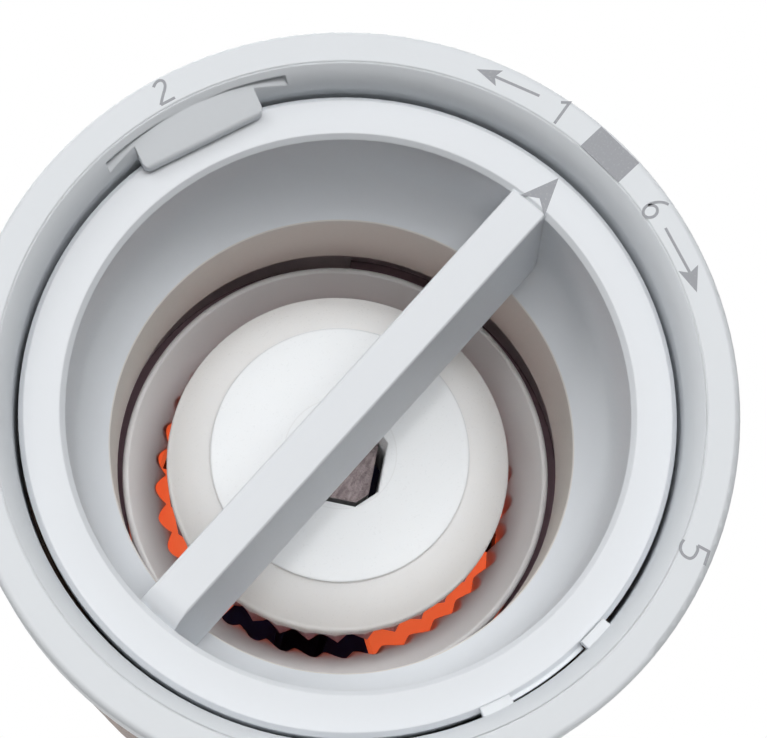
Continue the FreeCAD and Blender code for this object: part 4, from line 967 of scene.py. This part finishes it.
ALL_FINISHES: tuple[Finish, ...] = (
    StainedWood("stained_wood", (0.05, 0.022, 0.013), 0.42),
    MouldedPlastic("ring_plastic", (0.73, 0.76, 0.79), 0.42),
    # The dial's deeper colour is painted shade with a painted warm reflection inside its cup.
    MouldedPlastic(
        "dial_plastic", (0.735, 0.762, 0.795), 0.4, grain_scale=3200.0, grain_depth=0.0025 * MM,
        painted_shade=PaintedDeepShade((0.72, 0.68, 0.63), 12.0 * MM, 16.0 * MM, 18.6 * MM)),
    # The housing plastic turns near-black navy high in the mill: painted shade of the dark inside.
    MouldedPlastic(
        "housing_plastic", (0.7, 0.7, 0.69), 0.5,
        painted_shade=PaintedDeepShade((0.012, 0.01, 0.04), 100.0 * MM, 108.0 * MM, 40.0 * MM)),
    # The carrier turns dark purple at the top of its pocket: painted shade.
    MouldedPlastic(
        "carrier_plastic", (0.86, 0.77, 0.78), 0.5, dust_and_shade_share=0.0,
        painted_shade=PaintedDeepShade((0.34, 0.23, 0.27), 31.4 * MM, 31.7 * MM, 20.6 * MM)),
    # The bridge's emission is a painted glow that brightens it beyond its lighting.
    MouldedPlastic("bridge_plastic", (1.0, 0.24, 0.08), 0.45, mottle=0.03, dust_and_shade_share=0.03, painted_glow=0.3),
    MouldedPlastic("hub_plastic", (0.012, 0.01, 0.05), 0.45, dust_and_shade_share=0.02),
    MouldedPlastic("bush_plastic", (0.03, 0.03, 0.032), 0.5, dust_and_shade_share=0.05),
    # The ring burr's teeth are painted warm and darker: painted reflection of the orange bridge's light, and
    # painted shade.
    FiredCeramic(
        "burr_ceramic", (0.95, 0.95, 0.945), 0.34,
        teeth=PaintedDeepShade((0.78, 0.62, 0.6), 29.5 * MM, 32.0 * MM, 16.9 * MM)),
    # The rotor's teeth are painted dark purple-brown as shade, and its ground face is painted darker as
    # shade.
    FiredCeramic(
        "rotor_ceramic", (0.95, 0.952, 0.95), 0.3, ground_level=19.35 * MM, mark_radius=4.6 * MM,
        teeth=PaintedDeepShade((0.3, 0.17, 0.2), 24.1 * MM, 25.5 * MM, 16.9 * MM), core_radius=8.0 * MM),
    Rubber("rubber_seal", (0.02, 0.02, 0.02), 0.75),
    Metal("spring_steel", (0.55, 0.54, 0.52), 0.3),
    Metal("zinc_steel", (0.62, 0.62, 0.6), 0.36),
    Metal("spindle_aluminium", (0.52, 0.52, 0.53), 0.34, sawn_below=23.02 * MM),
    # The drive plate's dark navy colour is painted shade of the dark inside, seen through the bridge's
    # windows.
    Metal("plate_aluminium", (0.05, 0.06, 0.16), 0.4, marks=ToolMarks.ROUND),
    Metal("knob_steel", (0.47, 0.47, 0.47), 0.25, marks=ToolMarks.ROUND, line_depth=0.0004 * MM),
    PrintInk("scale_ink", (0.3, 0.31, 0.335), 0.55),
)
FINISHES = {finish.name: finish for finish in ALL_FINISHES}


class Paints:
    """Builds each finish once and hands out its material."""

    def __init__(self) -> None:
        """Start with no material built."""
        self.made: dict[str, bpy.types.Material] = {}

    def of(self, finish: Finish) -> bpy.types.Material:
        """Give the material of a finish.

        Args:
            finish: the finish wanted.

        Returns:
            Its material.
        """
        if finish.name not in self.made:
            self.made[finish.name] = finish.material()
        return self.made[finish.name]

    def dress(self, thing: Thing, finish: Finish) -> None:
        """Put a finish on an object.

        Args:
            thing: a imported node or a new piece.
            finish: the finish to put on it.
        """
        if not thing.material_slots:
            thing.data.materials.append(None)
        for place in thing.material_slots:
            place.material = self.of(finish)


def put(name: str, data: bpy.types.ID) -> Thing:
    """Put a new object into the scene.

    Args:
        name: the object's name.
        data: its mesh, lamp or camera.

    Returns:
        The new object.
    """
    thing = bpy.data.objects.new(name, data)
    bpy.context.scene.collection.objects.link(thing)
    return thing


def put_mesh(name: str, mesh: BMesh) -> Thing:
    """Put a built mesh into the scene.

    Args:
        name: the object's name.
        mesh: its mesh, which is freed here.

    Returns:
        The new object.
    """
    data = bpy.data.meshes.new(name)
    mesh.to_mesh(data)
    mesh.free()
    return put(name, data)


def skin(mesh: BMesh, rings: list[list], endless: bool = False) -> None:
    """Join rings of corners into a closed surface.

    Args:
        mesh: mesh that the faces go into.
        rings: rings with equally many corners.
        endless: join the last ring to the first one, in place of a lid on both.
    """
    for near, far in zip(rings, rings[1:] + rings[:1] if endless else rings[1:]):
        for index in range(len(near)):
            mesh.faces.new((near[index - 1], near[index], far[index], far[index - 1]))
    if not endless:
        mesh.faces.new(rings[0])
        mesh.faces.new(rings[-1])


def smooth(piece: Thing) -> None:
    """Shade a piece smoothly."""
    for face in piece.data.polygons:
        face.use_smooth = True


class Assembly:
    """Part of the mill that is built and dressed together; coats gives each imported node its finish."""

    coats: dict[str, str] = {}

    def __init__(self, frame: dict, paints: Paints) -> None:
        """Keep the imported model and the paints.

        Args:
            paints: the finishes' materials.
        """
        self.frame = frame
        self.paints = paints
        self.pieces = 0

    def dress_nodes(self) -> None:
        """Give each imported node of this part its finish."""
        for node, finish in self.coats.items():
            self.paints.dress(self.frame["nodes"][node], FINISHES[finish])

    def add(self, name: str, mesh: BMesh, finish: Finish, slot: str, body: str = "") -> Thing:
        """Turn a built mesh into a piece of the mill.

        Args:
            name: the piece's name.
            mesh: its mesh in the frame's axes, which is freed here.
            finish: its finish.
            slot: the record's material slot; not used.
            body: the body that it moves with, or nothing for a piece that stretches between two.

        Returns:
            The new object.
        """
        bmesh.ops.recalc_face_normals(mesh, faces=mesh.faces)
        piece = put_mesh(name, mesh)
        self.paints.dress(piece, finish)
        if body:
            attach(piece, body)
        LOG.info("%s: %d faces, moves with %s", name, len(piece.data.polygons), body or "two bodies")
        self.pieces += 1
        return piece

    def build(self) -> None:
        """Build and dress the whole part."""
        self.dress_nodes()

    def report(self) -> None:
        """Log what was built."""
        LOG.info("%s: %d nodes dressed, %d pieces added", type(self).__name__, len(self.coats), self.pieces)


@dataclass(frozen=True)
class Stroke:
    """Line of a drawn sign, in a box one high; a curved one runs smoothly through its points."""

    points: tuple[Point, ...]
    curved: bool = False

    def line(self, steps: int = 6) -> list[Vector]:
        """Points along the stroke.

        Args:
            steps: points for each span of a curved stroke.

        Returns:
            The points in order.
        """
        ends = [Vector(point) for point in self.points]
        if not self.curved:
            return ends
        padded = [ends[0] * 2 - ends[1], *ends, ends[-1] * 2 - ends[-2]]
        run: list[Vector] = []
        for index in range(len(ends) - 1):
            before, start, end, after = padded[index:index + 4]
            for step in range(steps):
                share = step / steps
                pull = (start * 2) + (end - before) * share
                pull += (before * 2 - start * 5 + end * 4 - after) * share ** 2
                pull += (start * 3 - before - end * 3 + after) * share ** 3
                run.append(pull / 2)
        run.append(ends[-1])
        return run


NUMERALS: dict[str, tuple[Stroke, ...]] = {
    "1": (Stroke(((0.14, 0.82), (0.4, 1.0), (0.4, 0.0))),),
    "2": (
        Stroke(((0.13, 0.86), (0.28, 0.96), (0.44, 0.98), (0.55, 0.89), (0.54, 0.74), (0.45, 0.6),
                (0.3, 0.45), (0.15, 0.29), (0.02, 0.14)), curved=True),
        Stroke(((0.02, 0.14), (0.6, 0.13))),
    ),
    "3": (
        Stroke(((0.08, 0.93), (0.22, 1.0), (0.38, 0.98), (0.49, 0.86), (0.46, 0.68), (0.35, 0.57),
                (0.2, 0.54)), curved=True),
        Stroke(((0.2, 0.54), (0.38, 0.51), (0.52, 0.4), (0.53, 0.22), (0.42, 0.06), (0.24, 0.0),
                (0.06, 0.05)), curved=True),
    ),
    "4": (Stroke(((0.43, 0.0), (0.43, 1.0), (0.03, 0.29), (0.6, 0.29))),),
    "5": (
        Stroke(((0.57, 0.96), (0.06, 0.92), (0.03, 0.48))),
        Stroke(((0.03, 0.48), (0.2, 0.54), (0.42, 0.52), (0.55, 0.43), (0.58, 0.29), (0.53, 0.11),
                (0.39, -0.03), (0.21, -0.07), (0.04, -0.04)), curved=True),
    ),
    "6": (
        Stroke(((0.46, 0.99), (0.3, 0.88), (0.16, 0.68), (0.08, 0.42), (0.1, 0.18), (0.2, 0.04),
                (0.33, 0.0), (0.47, 0.08), (0.54, 0.27), (0.48, 0.46), (0.33, 0.55), (0.18, 0.49),
                (0.09, 0.34)), curved=True),
    ),
}
NUMERAL_MIDDLE = Vector((0.31, 0.5))


class PrintSheet:
    """Builds flat printed signs on a level face that looks down."""

    layer = 0.002 * MM
    sharpest_mitre = 0.35

    def __init__(self, level: float, proud: float = 0.012 * MM, rooted: float = 0.018 * MM) -> None:
        """Start an empty sheet.

        Args:
            level: height of the face.
            proud: how far the first layer of ink stands below the face.
            rooted: how far it reaches into the face.
        """
        self.mesh = bmesh.new()
        self.low = level - proud
        self.high = level + rooted

    def next_layer(self) -> None:
        """Let the next stroke stand a hair prouder, so that crossing strokes share no face."""
        self.low -= self.layer
        self.high += self.layer

    def plate(self, outline: list[Vector]) -> None:
        """Add a filled outline.

        Args:
            outline: its corners, in order round it.
        """
        levels = (self.low, self.high)
        rings = [[self.mesh.verts.new((point.x, point.y, level)) for point in outline] for level in levels]
        skin(self.mesh, rings)

    def ribbon(self, line: list[Vector], width: float) -> None:
        """Add a line of even width, with mitred corners.

        Args:
            line: points along its middle.
            width: its width.
        """
        left: list[Vector] = []
        right: list[Vector] = []
        for index, point in enumerate(line):
            before = (point - line[index - 1]).normalized() if index else None
            after = (line[index + 1] - point).normalized() if index + 1 < len(line) else None
            way = ((before or after) + (after or before)).normalized()
            side = Vector((-way.y, way.x))
            stretch = 1.0 / max(way.dot(before or after), self.sharpest_mitre)
            left.append(point + side * (width / 2 * stretch))
            right.append(point - side * (width / 2 * stretch))
        rows = []
        for first, second in zip(left, right):
            rows.append([self.mesh.verts.new((p.x, p.y, z)) for p, z in (
                (first, self.low), (second, self.low), (second, self.high), (first, self.high))])
        skin(self.mesh, rows)


def on_ring(radius: float, degrees: float) -> Vector:
    """Point of the plane at a radius and an angle round the mill's axis."""
    angle = math.radians(degrees)
    return Vector((radius * math.cos(angle), radius * math.sin(angle)))


def facing_out(radius: float, degrees: float, across: float, up: float) -> Vector:
    """Point beside a place on the ring, for signs whose tops point outwards and are read from below.

    Args:
        radius: distance of the place from the axis.
        degrees: its angle.
        across: distance along the reading direction.
        up: distance outwards.

    Returns:
        The point.
    """
    outward = on_ring(1.0, degrees)
    along = Vector((-outward.y, outward.x))
    return outward * (radius + up) + along * across


@dataclass(frozen=True)
class ScalePlace:
    """Where a numeral of the scale stands."""

    sign: str
    radius: float
    degrees: float


@dataclass(frozen=True)
class Arrow:
    """Printed arrow along the scale."""

    tail: Point
    tip: Point
    barbs: tuple[Point, Point]
    notch_share: float = 0.2


@dataclass(frozen=True)
class ScalePrint:
    """Numerals, arrows and index field of the base ring; places are radius in metres and degrees."""

    height: float = 2.1 * MM
    stroke: float = 0.22 * MM
    numerals: tuple[ScalePlace, ...] = (
        ScalePlace("1", 27.7 * MM, -6.0),
        ScalePlace("2", 27.6 * MM, -72.5),
        ScalePlace("3", 27.6 * MM, -143.8),
        ScalePlace("4", 27.6 * MM, 145.2),
        ScalePlace("5", 27.6 * MM, 73.5),
        ScalePlace("6", 27.5 * MM, 15.8),
    )
    arrows: tuple[Arrow, ...] = (
        Arrow((27.9 * MM, -10.1), (27.7 * MM, -20.9), ((28.4 * MM, -17.0), (27.0 * MM, -17.0))),
        Arrow((27.3 * MM, 19.4), (27.3 * MM, 31.0), ((28.2 * MM, 26.9), (26.6 * MM, 26.7))),
    )
    field_radius: float = 27.55 * MM
    field_degrees: float = 4.5
    field_width: float = 4.05 * MM
    field_height: float = 2.3 * MM


class BaseRing(Assembly):
    """White ring that the mill stands on, with its printed scale."""

    coats = {"base_ring": "ring_plastic"}
    prints = ScalePrint()

    def build(self) -> None:
        """Dress the ring and print its scale."""
        self.dress_nodes()
        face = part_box("base_ring")[0].z
        for place in self.prints.numerals:
            self.add_print(f"scale_numeral_{place.sign}", self.numeral(place, face))
        for name, arrow in zip(("scale_arrow_coarse", "scale_arrow_fine"), self.prints.arrows):
            self.add_print(name, self.arrow(arrow, face))
        self.add_print("scale_index_field", self.field(face))

    def add_print(self, name: str, sheet: PrintSheet) -> None:
        """Put a printed sign on the ring."""
        self.add(name, sheet.mesh, FINISHES["scale_ink"], "ring_plastic", "body")

    def numeral(self, place: ScalePlace, face: float) -> PrintSheet:
        """Draw a numeral with its top outwards.

        Args:
            place: the numeral and where it stands.
            face: height of the ring's face.

        Returns:
            The printed sign.
        """
        sheet = PrintSheet(face)
        for stroke in NUMERALS[place.sign]:
            line = []
            for point in stroke.line():
                spot = (point - NUMERAL_MIDDLE) * self.prints.height
                line.append(facing_out(place.radius, place.degrees, spot.x, spot.y))
            sheet.ribbon(line, self.prints.stroke)
            sheet.next_layer()
        return sheet

    def arrow(self, arrow: Arrow, face: float) -> PrintSheet:
        """Draw an arrow with a barbed head.

        Args:
            arrow: its tail, tip and barbs.
            face: height of the ring's face.

        Returns:
            The printed sign.
        """
        sheet = PrintSheet(face)
        tail, tip = on_ring(*arrow.tail), on_ring(*arrow.tip)
        first, second = (on_ring(*barb) for barb in arrow.barbs)
        notch = (first + second) / 2
        notch += (tip - notch) * arrow.notch_share
        sheet.ribbon([tail, notch], self.prints.stroke)
        sheet.next_layer()
        sheet.plate([tip, first, notch, second])
        return sheet

    def field(self, face: float) -> PrintSheet:
        """Fill the index field between the first and the last numeral.

        Args:
            face: height of the ring's face.

        Returns:
            The printed sign.
        """
        sheet = PrintSheet(face)
        prints = self.prints
        across, up = prints.field_width / 2, prints.field_height / 2
        corners = ((-across, -up), (across, -up), (across, up), (-across, up))
        sheet.plate([facing_out(prints.field_radius, prints.field_degrees, *corner) for corner in corners])
        return sheet


@dataclass(frozen=True)
class PointerPrint:
    """Pointer of the dial; places are radius in metres and degrees."""

    tip: Point = (24.35 * MM, 0.3)
    corners: tuple[Point, Point] = ((21.33 * MM, -3.2), (21.27 * MM, 3.5))
    notch: Point = (22.1 * MM, 0.2)


class Dial(Assembly):
    """White adjusting dial with its printed pointer."""

    coats = {"adjusting_dial": "dial_plastic", "dial_o_ring": "rubber_seal"}
    pointer = PointerPrint()

    def build(self) -> None:
        """Dress the dial and print its pointer."""
        self.dress_nodes()
        sheet = PrintSheet(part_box("adjusting_dial")[0].z)
        first, second = (on_ring(*corner) for corner in self.pointer.corners)
        sheet.plate([on_ring(*self.pointer.tip), first, on_ring(*self.pointer.notch), second])
        self.add("dial_pointer", sheet.mesh, FINISHES["scale_ink"], "dial_plastic", "dial")


@dataclass(frozen=True)
class FluteShape:
    """Bore of the ring burr: flared mouth, hollow ground flutes and a flare above the narrowest part."""

    teeth: int = 36
    tip: float = 14.5 * MM
    root: float = 15.4 * MM
    mouth: float = 17.5 * MM
    mouth_curve: float = 1.6
    narrow_rise: float = 6.6 * MM
    flare: float = 1.35 * MM
    edge_round: float = 0.35 * MM
    lean: float = 0.6
    first: float = -4.0
    twist: float = 6.4
    hollow: float = 1.75
    samples: int = 14
    rows: int = 44
    round_steps: int = 6
    sharp_angle: float = 38.0


class Burrs(Assembly):
    """Ring burr with its carrier, and the cone burr."""

    coats = {
        "stator_carrier": "carrier_plastic",
        "ceramic_rotor": "rotor_ceramic",
        "ceramic_stator": "burr_ceramic",
    }
    flutes = FluteShape()

    def build(self) -> None:
        """Dress the burrs and grind the ring burr's flutes."""
        self.dress_nodes()
        ring = self.add("ring_burr", self.ring_burr(), FINISHES["burr_ceramic"], "burr_ceramic", "stator")
        smooth(ring)
        ring.data.set_sharp_from_angle(angle=math.radians(self.flutes.sharp_angle))
        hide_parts("ceramic_stator")

    def bore(self, rise: float, angle: float) -> float:
        """Radius of the bore.

        Args:
            rise: height above the burr's lower face.
            angle: angle round the axis in radians.

        Returns:
            The radius there.
        """
        shape = self.flutes
        turned = math.radians(shape.first + shape.twist * rise / shape.narrow_rise)
        phase = ((angle - turned) * shape.teeth / math.tau) % 1.0
        if phase < shape.lean:
            climb = 1.0 - (1.0 - phase / shape.lean) ** shape.hollow
        else:
            climb = 1.0 - ((phase - shape.lean) / (1.0 - shape.lean)) ** shape.hollow
        fluted = shape.tip + (shape.root - shape.tip) * climb
        above = max(0.0, rise - shape.narrow_rise)
        fluted += above * shape.flare / shape.narrow_rise
        left = 1.0 - min(rise / shape.narrow_rise, 1.0)
        mouth = shape.tip + (shape.mouth - shape.tip) * left ** shape.mouth_curve
        return max(mouth, fluted)

    def ring_burr(self) -> BMesh:
        """Build the ring burr as rows of rings: outer side, lower face, bore and upper face.

        Returns:
            The closed mesh.
        """
        shape = self.flutes
        low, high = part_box("ceramic_stator")
        outer, height = high.x, high.z - low.z
        columns = shape.teeth * shape.samples
        section: list[tuple[float, float | None]] = [(height, outer)]
        for step in range(shape.round_steps + 1):
            turn = math.radians(90.0 * step / shape.round_steps)
            section.append((
                shape.edge_round * (1.0 - math.sin(turn)),
                outer - shape.edge_round * (1.0 - math.cos(turn)),
            ))
        section.extend((height * row / shape.rows, None) for row in range(shape.rows + 1))
        mesh = bmesh.new()
        rings = []
        for rise, radius in section:
            ring = []
            for column in range(columns):
                angle = math.tau * column / columns
                reach = self.bore(rise, angle) if radius is None else radius
                ring.append(mesh.verts.new((reach * math.cos(angle), reach * math.sin(angle), low.z + rise)))
            rings.append(ring)
        skin(mesh, rings, endless=True)
        return mesh


@dataclass(frozen=True)
class CoilShape:
    """Spring of round wire with closer turns at its ends."""

    wire: float = 0.9 * MM
    turns: int = 4
    dead_share: float = 0.12
    sides: int = 12
    steps_a_turn: int = 48


class Bridge(Assembly):
    """Orange bearing bridge with its bush and screws, and the spring under it."""

    coats = {
        "bearing_bridge": "bridge_plastic",
        "bridge_bush": "bush_plastic",
        "housing_screws": "zinc_steel",
    }
    coil_shape = CoilShape()

    def build(self) -> None:
        """Dress the bridge and wind the spring."""
        self.dress_nodes()
        spring = self.add("burr_spring", self.coil(), FINISHES["spring_steel"], "spring_steel")
        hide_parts("stator_spring")
        smooth(spring)
        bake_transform(spring)

    def coil(self) -> BMesh:
        """Wind the spring with closer turns at its ends.

        Returns:
            The closed tube.
        """
        shape = self.coil_shape
        thick = shape.wire / 2
        low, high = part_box("stator_spring")
        bottom, top = low.z + thick, high.z - thick
        count = shape.turns * shape.steps_a_turn
        spots = []
        for step in range(count + 1):
            share = step / count
            climb = share - shape.dead_share / math.tau * math.sin(math.tau * share)
            spot = on_ring(high.x - thick, 360.0 * shape.turns * share)
            spots.append(Vector((spot.x, spot.y, bottom + (top - bottom) * climb)))
        mesh = bmesh.new()
        rings = []
        for index, spot in enumerate(spots):
            ahead = spots[min(index + 1, count)] - spots[max(index - 1, 0)]
            side = Vector((spot.x, spot.y, 0.0)).normalized()
            over = ahead.normalized().cross(side)
            ring = []
            for corner in range(shape.sides):
                turn = math.tau * corner / shape.sides
                ring.append(mesh.verts.new(spot + (side * math.cos(turn) + over * math.sin(turn)) * thick))
            rings.append(ring)
        skin(mesh, rings)
        return mesh


class Drive(Assembly):
    """Spindle, hub and what holds them in the bridge."""

    coats = {
        "spindle": "spindle_aluminium",
        "rotor_hub": "hub_plastic",
        "thrust_washer": "zinc_steel",
        "hub_clip": "zinc_steel",
        "hub_pin": "zinc_steel",
    }


class Body(Assembly):
    """Turned wooden body with the housing and the neck bearing."""

    coats = {
        "wood_body": "stained_wood",
        "mechanism_housing": "housing_plastic",
        "neck_bearing": "housing_plastic",
    }


class Head(Assembly):
    """Wooden head with its liner, drive plate and knob."""

    coats = {
        "wood_head": "stained_wood",
        "head_liner": "housing_plastic",
        "head_seal_ring": "rubber_seal",
        "drive_plate": "plate_aluminium",
        "drive_plate_screws": "zinc_steel",
        "knob_washer": "knob_steel",
        "top_knob": "knob_steel",
    }


@dataclass(frozen=True)
class CameraFit:
    """Where the photograph was taken from: below the base, nearly along the mill's axis."""

    spin: float = 48.2
    pitch: float = 14.506
    yaw: float = 3.816
    aside: float = -2.28237 * MM
    down: float = 2.04601 * MM
    away: float = 174.0 * MM
    focal_share: float = 3.07709
    film: float = 36.0
    nearest: float = 10.0 * MM

    def matrix(self) -> Matrix:
        """Place and turn of the camera.

        Returns:
            The camera's matrix in the frame's axes.
        """
        view = (
            Matrix.Rotation(math.radians(-self.yaw), 3, "Y")
            @ Matrix.Rotation(math.radians(-self.pitch), 3, "X")
            @ Matrix.Rotation(math.radians(-self.spin), 3, "Z")
        )
        to_camera = Matrix.Diagonal((1.0, -1.0, -1.0)) @ view
        matrix = to_camera.transposed().to_4x4()
        matrix.translation = -(view.transposed() @ Vector((self.aside, self.down, self.away)))
        return matrix


@dataclass(frozen=True)
class Lamp:
    """Soft square lamp that looks at the mill's base or body."""

    name: str
    place: tuple[float, float, float]
    target: tuple[float, float, float]
    size: float
    power: float
    colour: Colour = (1.0, 1.0, 1.0)


BASE = (0.0, 0.0, 15.0 * MM)
MIDDLE = (0.0, 0.0, 100.0 * MM)


@dataclass(frozen=True)
class StudioPlan:
    """Lamps, surroundings and floor."""

    lamps: tuple[Lamp, ...] = (
        Lamp("near_lamp", (0.068, -0.207, -0.858), BASE, 0.4, 2.55),
        Lamp("second_near_lamp", (0.256, 0.06, -0.845), BASE, 0.4, 1.76),
        Lamp("side_lamp", (-0.02, -0.648, -0.611), BASE, 0.36, 2.45),
        Lamp("right_lamp", (0.548, 0.08, -0.695), BASE, 0.36, 1.4),
        Lamp("front_lamp", (-0.178, 0.1, -0.861), BASE, 0.14, 0.44, (1.0, 0.93, 0.87)),
        Lamp("top_lamp", (0.3, -0.45, 0.62), MIDDLE, 0.95, 4.8),
        Lamp("back_lamp", (-0.4, 0.5, 0.4), MIDDLE, 0.95, 3.5),
    )
    backdrop: Colour = (1.0, 1.0, 1.0)
    light_share: float = 0.03
    sky_share: float = 0.35
    sky_start: float = -0.05
    sky_full: float = 0.4
    floor_colour: Colour = (0.45, 0.45, 0.45)
    floor_glow: float = 0.5
    floor_level: float = -0.03 * MM
    floor_reach: float = 1.6
    floor_sides: int = 96
    fade_start: float = 0.2
    fade_end: float = 0.6


class Studio:
    """Camera, lamps, white surroundings and a floor that shows only from above."""

    plan = StudioPlan()

    def build(self) -> None:
        """Set up everything that isn't part of the mill."""
        self.camera(CameraFit())
        for lamp in self.plan.lamps:
            self.lamp(lamp)
        self.surroundings()
        self.floor()
        bpy.context.scene.view_settings.view_transform = "Standard"

    def camera(self, fit: CameraFit) -> None:
        """Place the camera.

        Args:
            fit: its place, turn and lens.
        """
        data = bpy.data.cameras.new("camera")
        data.sensor_fit = "HORIZONTAL"
        data.sensor_width = fit.film
        data.lens = fit.film * fit.focal_share
        data.clip_start = fit.nearest
        camera = put("camera", data)
        camera.matrix_world = fit.matrix()
        bpy.context.scene.camera = camera

    def lamp(self, lamp: Lamp) -> None:
        """Place a lamp.

        Args:
            lamp: its place, size and power.
        """
        data = bpy.data.lights.new(lamp.name, "AREA")
        data.size = lamp.size
        data.energy = lamp.power
        data.color = lamp.colour
        thing = put(lamp.name, data)
        thing.location = lamp.place
        way = Vector(lamp.target) - Vector(lamp.place)
        thing.rotation_euler = way.to_track_quat("-Z", "Y").to_euler()

    def surroundings(self) -> None:
        """Make it white all round for the eye and in reflections; as a light, brighter from above."""
        plan = self.plan
        world = bpy.data.worlds.new("surroundings")
        graph = Graph.fresh(world)
        path = graph.node("ShaderNodeLightPath")
        seen = graph.math("MAXIMUM", path.outputs["Is Camera Ray"], path.outputs["Is Glossy Ray"])
        seen = graph.math("MAXIMUM", seen, path.outputs["Is Transmission Ray"])
        _, _, height = graph.parts(graph.node("ShaderNodeTexCoord").outputs["Generated"])
        share = graph.span(height, plan.sky_start, plan.sky_full, plan.light_share, plan.sky_share)
        inputs = {"Color": opaque(plan.backdrop), "Strength": graph.math("MAXIMUM", seen, share)}
        light = graph.node("ShaderNodeBackground", inputs)
        graph.node("ShaderNodeOutputWorld", {"Surface": light.outputs[0]})
        bpy.context.scene.world = world

    def floor(self) -> None:
        """Lay a pale floor that fades to white, is seen from above only and lets light through from below."""
        plan = self.plan
        mesh = bmesh.new()
        bmesh.ops.create_circle(mesh, cap_ends=True, segments=plan.floor_sides, radius=plan.floor_reach)
        bmesh.ops.translate(mesh, verts=mesh.verts, vec=(0.0, 0.0, plan.floor_level))
        floor = put_mesh("floor", mesh)
        material = bpy.data.materials.new("floor")
        graph = Graph.fresh(material)
        path = graph.node("ShaderNodeLightPath")
        side = graph.node("ShaderNodeNewGeometry")
        front = graph.math("SUBTRACT", 1.0, side.outputs["Backfacing"])
        shown = graph.times(path.outputs["Is Camera Ray"], front)
        clear = graph.node("ShaderNodeBsdfTransparent")
        lit = graph.node("ShaderNodeBsdfDiffuse", {"Color": opaque(plan.floor_colour)})
        even = graph.node("ShaderNodeEmission", {"Strength": plan.floor_glow})
        near = graph.node("ShaderNodeAddShader", {0: lit.outputs[0], 1: even.outputs[0]})
        far = graph.node("ShaderNodeEmission", {"Strength": 1.0})
        radius, _ = graph.round_axis()
        fade = graph.span(radius, plan.fade_start, plan.fade_end)
        pale = graph.node("ShaderNodeMixShader", {0: fade, 1: near.outputs[0], 2: far.outputs[0]})
        mixed = graph.node("ShaderNodeMixShader", {0: shown, 1: clear.outputs[0], 2: pale.outputs[0]})
        graph.node("ShaderNodeOutputMaterial", {"Surface": mixed.outputs[0]})
        floor.data.materials.append(material)


def clear_scene() -> None:
    """Take away whatever a new file holds."""
    for thing in list(bpy.data.objects):
        bpy.data.objects.remove(thing)


def main() -> None:
    """Load the frame, build and dress each part, and set up the studio."""
    logging.basicConfig(level=logging.INFO, format="%(name)s: %(message)s")
    clear_scene()
    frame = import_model()
    paints = Paints()
    for part in (BaseRing, Dial, Burrs, Bridge, Drive, Body, Head):
        assembly = part(frame, paints)
        assembly.build()
        assembly.report()
    Studio().build()


if __name__ == "__main__":
    main()
